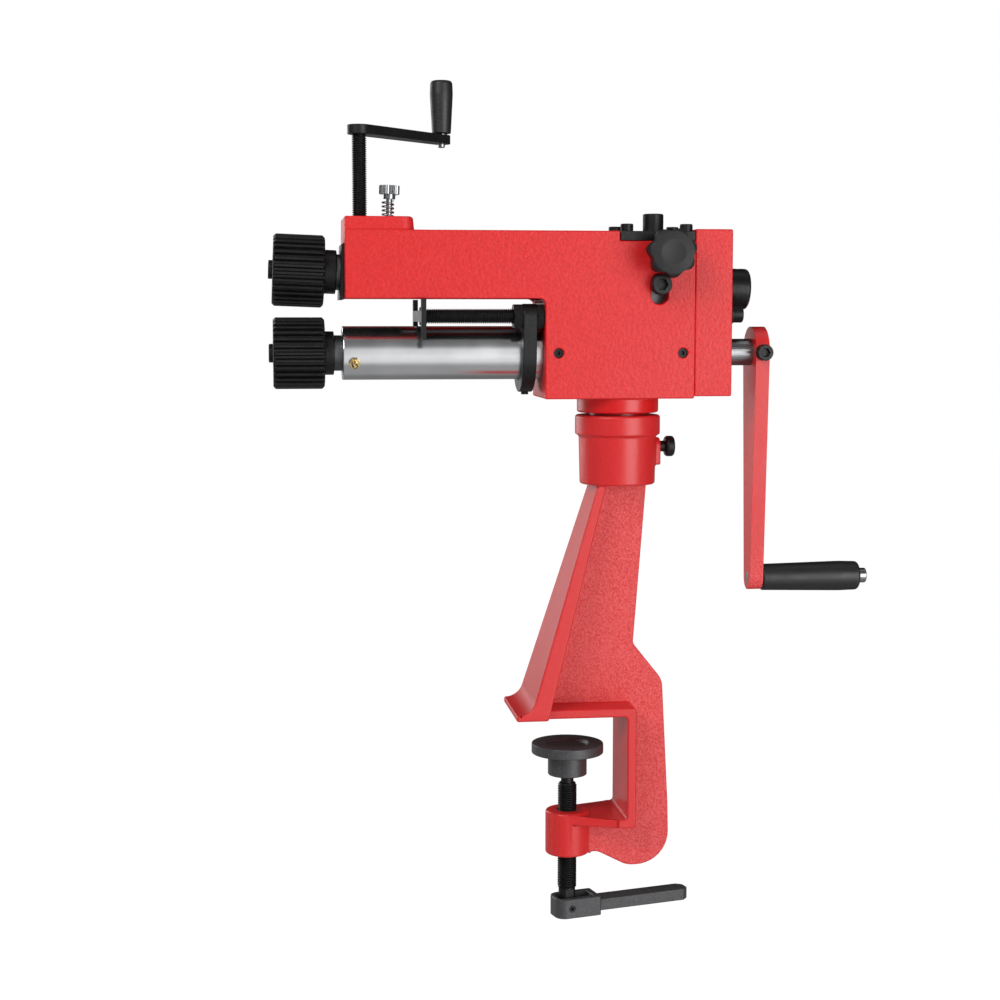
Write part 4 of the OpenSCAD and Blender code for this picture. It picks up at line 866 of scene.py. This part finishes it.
spring_tree, given = recipe("coil_spring", [("Height", FLOAT), ("Radius", FLOAT), ("Turns", FLOAT),
                                            ("Wire", FLOAT)])
helix = add(spring_tree, "GeometryNodeCurveSpiral", {"Resolution": COIL_STEPS, "Rotations": given["Turns"],
                                                     "Start Radius": given["Radius"],
                                                     "End Radius": given["Radius"],
                                                     "Height": given["Height"]})
wire = add(spring_tree, "GeometryNodeCurvePrimitiveCircle", {"Resolution": WIRE_SIDES,
                                                             "Radius": given["Wire"]})
coil = add(spring_tree, "GeometryNodeCurveToMesh", {"Curve": helix.outputs[0],
                                                    "Profile Curve": wire.outputs[0],
                                                    "Fill Caps": True})
round_wire = add(spring_tree, "GeometryNodeSetShadeSmooth", {"Geometry": coil.outputs[0]})
serve(spring_tree, round_wire.outputs[0], given)
print(f"spring tree of {len(spring_tree.nodes)} nodes")

# %% [markdown]
# ## A spring that follows its stud
#
# The stud inside the spring moves with the rocker, and stands nearer the front once the rolls are closed.
# So the spring is wound 0.8 mm nearer the front than the imported one, to keep the wire clear of the stud.

# %% Wind the spring
WIRE = 1.4 * MM
SPRING_TURNS = 6
SPRING_SHIFT = 0.8 * MM

low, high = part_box("return_spring")
middle = (low + high) / 2
seat_x = middle.x - SPRING_SHIFT
spring_mesh = cook(spring_tree, {"Height": high.z - low.z - WIRE, "Radius": (high.y - low.y - WIRE) / 2,
                                 "Turns": SPRING_TURNS, "Wire": WIRE / 2}, zinc)
spring_mesh.transform(Matrix.Translation((seat_x, middle.y, low.z + WIRE / 2)))
spring = show("return_spring_wound", spring_mesh, zinc, "return_spring")
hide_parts("return_spring")
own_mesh(spring)
print(f"spring of {SPRING_TURNS} turns, {1000 * (high.z - low.z):.1f} mm tall")

# %% [markdown]
# ## Knurled screw heads
#
# Socket cap screws have straight knurling round the head, so that fingers can spin them in. One rib is a
# small prism. The tree sets it at every point of a circle, turned to face outwards. A screw's place and
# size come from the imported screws, one loose piece of the node at a time.

# %% The knurl tree
KNURL_SPACING = 1.05 * MM
RIB_SHARE = 0.55
RIB_PROUD = 0.16 * MM
RIB_THICK = 4 * RIB_PROUD
HEAD_EDGE = 0.9 * MM

knurl_tree, given = recipe("head_knurl", [("Radius", FLOAT), ("Height", FLOAT), ("Ribs", WHOLE),
                                          ("Rib", FLOAT)])
circle = add(knurl_tree, "GeometryNodeMeshCircle", {"Vertices": given["Ribs"],
                                                    "Radius": given["Radius"]})
size = add(knurl_tree, "ShaderNodeCombineXYZ", {0: RIB_THICK, 1: given["Rib"],
                                                2: given["Height"]})
rib = add(knurl_tree, "GeometryNodeMeshCube", {"Size": size.outputs[0]})
outward = add(knurl_tree, "GeometryNodeInputPosition").outputs[0]
facing = add(knurl_tree, "FunctionNodeAlignRotationToVector", {"Vector": outward}, axis="X",
             pivot_axis="Z")
ribs = add(knurl_tree, "GeometryNodeInstanceOnPoints", {"Points": circle.outputs[0],
                                                        "Instance": rib.outputs[0],
                                                        "Rotation": facing.outputs[0]})
serve(knurl_tree, ribs.outputs[0], given)
print(f"knurl tree of {len(knurl_tree.nodes)} nodes")

# %% [markdown]
# ## Which screw is which
#
# A node may hold several screws. Points that are joined by edges belong to one screw, so each screw is
# found by walking from point to point, and its box gives the place of its head.

# %% Find each screw of a node
def loose_boxes(node):
    """The lowest and highest corners of each solid in a node."""
    shape = clean_copy(node)
    waiting = set(shape.verts)
    boxes = []
    while waiting:
        island, edge = set(), {waiting.pop()}
        while edge:
            island |= edge
            edge = {e.other_vert(v) for v in edge for e in v.link_edges} - island
        waiting -= island
        places = [v.co for v in island]
        boxes.append([Vector(pick(p[i] for p in places) for i in range(3)) for pick in (min, max)])
    shape.free()
    return boxes


print(f"bridge screws found: {len(loose_boxes('bridge_screws'))}")

# %% [markdown]
# ## Knurl the heads
#
# A table says which way each node's heads point and how large they are. Only the far trunnion screw points
# the other way. The knurling leaves a plain edge at both ends of a head.

# %% Knurl the heads
def knurl_heads(node, outward, diameter, height):
    """Adds knurling to every screw head of a node; outward points out of the head along an axis."""
    shape = bmesh.new()
    out = Vector(outward)
    ribs = round(math.pi * diameter / KNURL_SPACING)
    for low, high in loose_boxes(node):
        middle = (low + high) / 2
        reach = Vector(abs(a) for a in out).dot(high - low) / 2
        side = out
        if node == "trunnion_screws" and middle.y > 0:
            side = -out
        top = middle + side * reach
        mesh = cook(knurl_tree, {"Radius": diameter / 2 - RIB_PROUD, "Height": height - 2 * HEAD_EDGE,
                                 "Ribs": ribs, "Rib": RIB_SHARE * KNURL_SPACING}, oxide)
        turn = Vector((0, 0, 1)).rotation_difference(side).to_matrix().to_4x4()
        mesh.transform(Matrix.Translation(top - side * height / 2) @ turn)
        shape.from_mesh(mesh)
    mesh = bpy.data.meshes.new(node)
    shape.to_mesh(mesh)
    shape.free()
    return show(f"{node}_knurl", mesh, oxide, node)


# For each node: the way out of its heads, their diameter and their height.
HEADS = {
    "bridge_screws": ((0, 0, 1), 10 * MM, 6 * MM),
    "pivot_adjust_screw": ((0, 0, 1), 16.5 * MM, 15 * MM),
    "cover_screws": ((1, 0, 0), 13 * MM, 8 * MM),
    "crank_arm_screw": ((0, -1, 0), 13 * MM, 8 * MM),
    "trunnion_screws": ((0, -1, 0), 16 * MM, 10 * MM),
}
for node, (outward, diameter, height) in HEADS.items():
    knurl_heads(node, outward, diameter, height)
print(f"{len(HEADS)} kinds of screw head knurled")

# %% [markdown]
# ## Studio walls
#
# The photograph was taken in a white room. Polished steel shows the room and not itself, so the barrel
# tells what the room was like: grey at the floor, white in front and dark above. Those bands are set by
# the height that a reflected ray looks towards.

# %% Paint the room's bands
ROOM_BANDS = {-1.0: 0.4, -0.8: 0.4, -0.6: 0.95, -0.25: 1.0, 0.0: 0.85, 0.25: 0.8, 0.5: 0.24, 0.9: 0.14,
              1.0: 0.05}

world = bpy.data.worlds.new("white_room")
world.use_nodes = True
bpy.context.scene.world = world
room = world.node_tree
backdrop = room.nodes["Background"]
backdrop.inputs["Color"].default_value = (1, 1, 1, 1)
direction = add(room, "ShaderNodeTexCoord").outputs["Generated"]
look = add(room, "ShaderNodeSeparateXYZ", {0: direction}).outputs
height = add(room, "ShaderNodeMapRange", {"Value": look[2], "From Min": -1.0}).outputs[0]
bands = add(room, "ShaderNodeValToRGB", {"Fac": height})
steps = bands.color_ramp.elements
while len(steps) < len(ROOM_BANDS):
    steps.new(0.5)
for step, (rise, brightness) in zip(steps, ROOM_BANDS.items()):
    step.position = (rise + 1) / 2
    step.color = (brightness, brightness, brightness, 1)
print(f"{len(ROOM_BANDS)} bands round the room")

# %% [markdown]
# ## Shades on the walls
#
# The room isn't the same all round. The left of the front wall is dim and so is its far right, and the
# wall behind the machine is dark but for its low left. That gives the red its deeper sides. Only gloss
# sees the walls. Matt faces get one even level, and the camera sees plain white.

# %% Shade the walls
EVEN_LIGHT = 0.26
# A shade runs along the look (0 rightwards, 1 backwards, 2 upwards) from a place and level to the next.
WALL_SHADES = {
    "left": (0, (-0.35, 0.3), (0.05, 1.0)),
    "right": (0, (0.7, 1.0), (0.95, 0.2)),
    "back": (0, (-0.1, 0.35), (0.2, 0.12)),
    "back_above": (2, (0.0, 1.0), (0.15, 0.15)),
    "behind": (1, (0.1, 0.0), (0.5, 1.0)),
}


def white_to_the_eye(tree):
    """One where the camera looks, straight or through glass, and nought for the light's own rays."""
    path = add(tree, "ShaderNodeLightPath").outputs
    return add(tree, "ShaderNodeMath", {0: path["Is Camera Ray"], 1: path["Is Transmission Ray"]},
               operation="MAXIMUM").outputs[0]


shade = {}
for name, (axis, (start, first), (end, last)) in WALL_SHADES.items():
    shade[name] = add(room, "ShaderNodeMapRange", {"Value": look[axis], "From Min": start, "From Max": end,
                                                   "To Min": first, "To Max": last}).outputs[0]
sides = add(room, "ShaderNodeMath", {0: shade["left"], 1: shade["right"]}, operation="MULTIPLY").outputs[0]
front = add(room, "ShaderNodeMath", {0: sides, 1: bands.outputs["Color"]}, operation="MULTIPLY").outputs[0]
back = add(room, "ShaderNodeMath", {0: shade["back"], 1: shade["back_above"]},
           operation="MULTIPLY").outputs[0]
walls = add(room, "ShaderNodeMix", {"Factor": shade["behind"], 2: front, 3: back}).outputs[0]
glossy = add(room, "ShaderNodeLightPath").outputs["Is Glossy Ray"]
unseen = add(room, "ShaderNodeMix", {"Factor": glossy, 2: EVEN_LIGHT, 3: walls}).outputs[0]
level = add(room, "ShaderNodeMix", {"Factor": white_to_the_eye(room), 2: unseen, 3: 1.0}).outputs[0]
room.links.new(level, backdrop.inputs["Strength"])
print(f"{len(WALL_SHADES)} shades on the walls")

# %% [markdown]
# ## Floor
#
# The floor lies a bench's height below the jaw, since the bench is what really holds this machine. It is
# as white as the walls to the eye because most of what the camera sees of it glows, and the rest takes
# the machine's faint shadow. Reflections don't see it: they have the room's own grey band for a floor.

# %% Lay the floor
FLOOR_DROP = 0.76
FLOOR_SIZE = 24.0
FLOOR_SHADE = 0.15
FLOOR_GLOW = 1.14

floor_material, tree, shader = finish("white_floor", Base_Color=linear("#f2f2f2"), Roughness=0.9)
glow = add(tree, "ShaderNodeEmission", {"Color": (1, 1, 1, 1), "Strength": FLOOR_GLOW}).outputs[0]
glowing = add(tree, "ShaderNodeMath", {0: white_to_the_eye(tree), 1: 1 - FLOOR_SHADE},
              operation="MULTIPLY").outputs[0]
seen = add(tree, "ShaderNodeMixShader", {0: glowing, 1: shader.outputs[0], 2: glow})
tree.links.new(seen.outputs[0], tree.nodes["Material Output"].inputs["Surface"])
floor_shape = bmesh.new()
bmesh.ops.create_grid(floor_shape, x_segments=1, y_segments=1, size=FLOOR_SIZE / 2,
                      matrix=Matrix.Translation((0, 0, -FLOOR_DROP)))
floor_mesh = bpy.data.meshes.new("floor")
floor_shape.to_mesh(floor_mesh)
floor_shape.free()
floor_mesh.materials.append(floor_material)
floor = bpy.data.objects.new("floor", floor_mesh)
bpy.context.scene.collection.objects.link(floor)
floor.visible_glossy = False
print(f"floor {FLOOR_DROP} m below the jaw")

# %% [markdown]
# ## Lamps
#
# The key is a wide box at the camera's right, level with the machine, and a second box stands high at the
# left. Both are in front, so that the faces that the camera sees are the light ones. A weak box above and
# one at the back left keep the top and the far sides from going black.

# %% Hang the soft boxes
# For each box: its place and its size in metres, and its power in watts.
SOFT_BOXES = {
    "key": ((1.25, -1.95, 0.25), (1.4, 1.6), 28.0),
    "high_left": ((-1.3, -1.4, 1.5), (1.2, 1.2), 26.0),
    "top": ((0.1, -0.2, 2.0), (1.6, 1.0), 3.5),
    "back": ((-1.3, 1.6, 0.7), (1.4, 1.4), 15.0),
}
AIM = Vector((0, 0, 0.15))
for name, (place, size, power) in SOFT_BOXES.items():
    light = bpy.data.lights.new(name, "AREA")
    light.shape = "RECTANGLE"
    light.size, light.size_y = size
    light.energy = power
    box = bpy.data.objects.new(name, light)
    box.location = place
    box.rotation_euler = (AIM - Vector(place)).to_track_quat("-Z", "Y").to_euler()
    bpy.context.scene.collection.objects.link(box)
print(f"{len(SOFT_BOXES)} soft boxes")
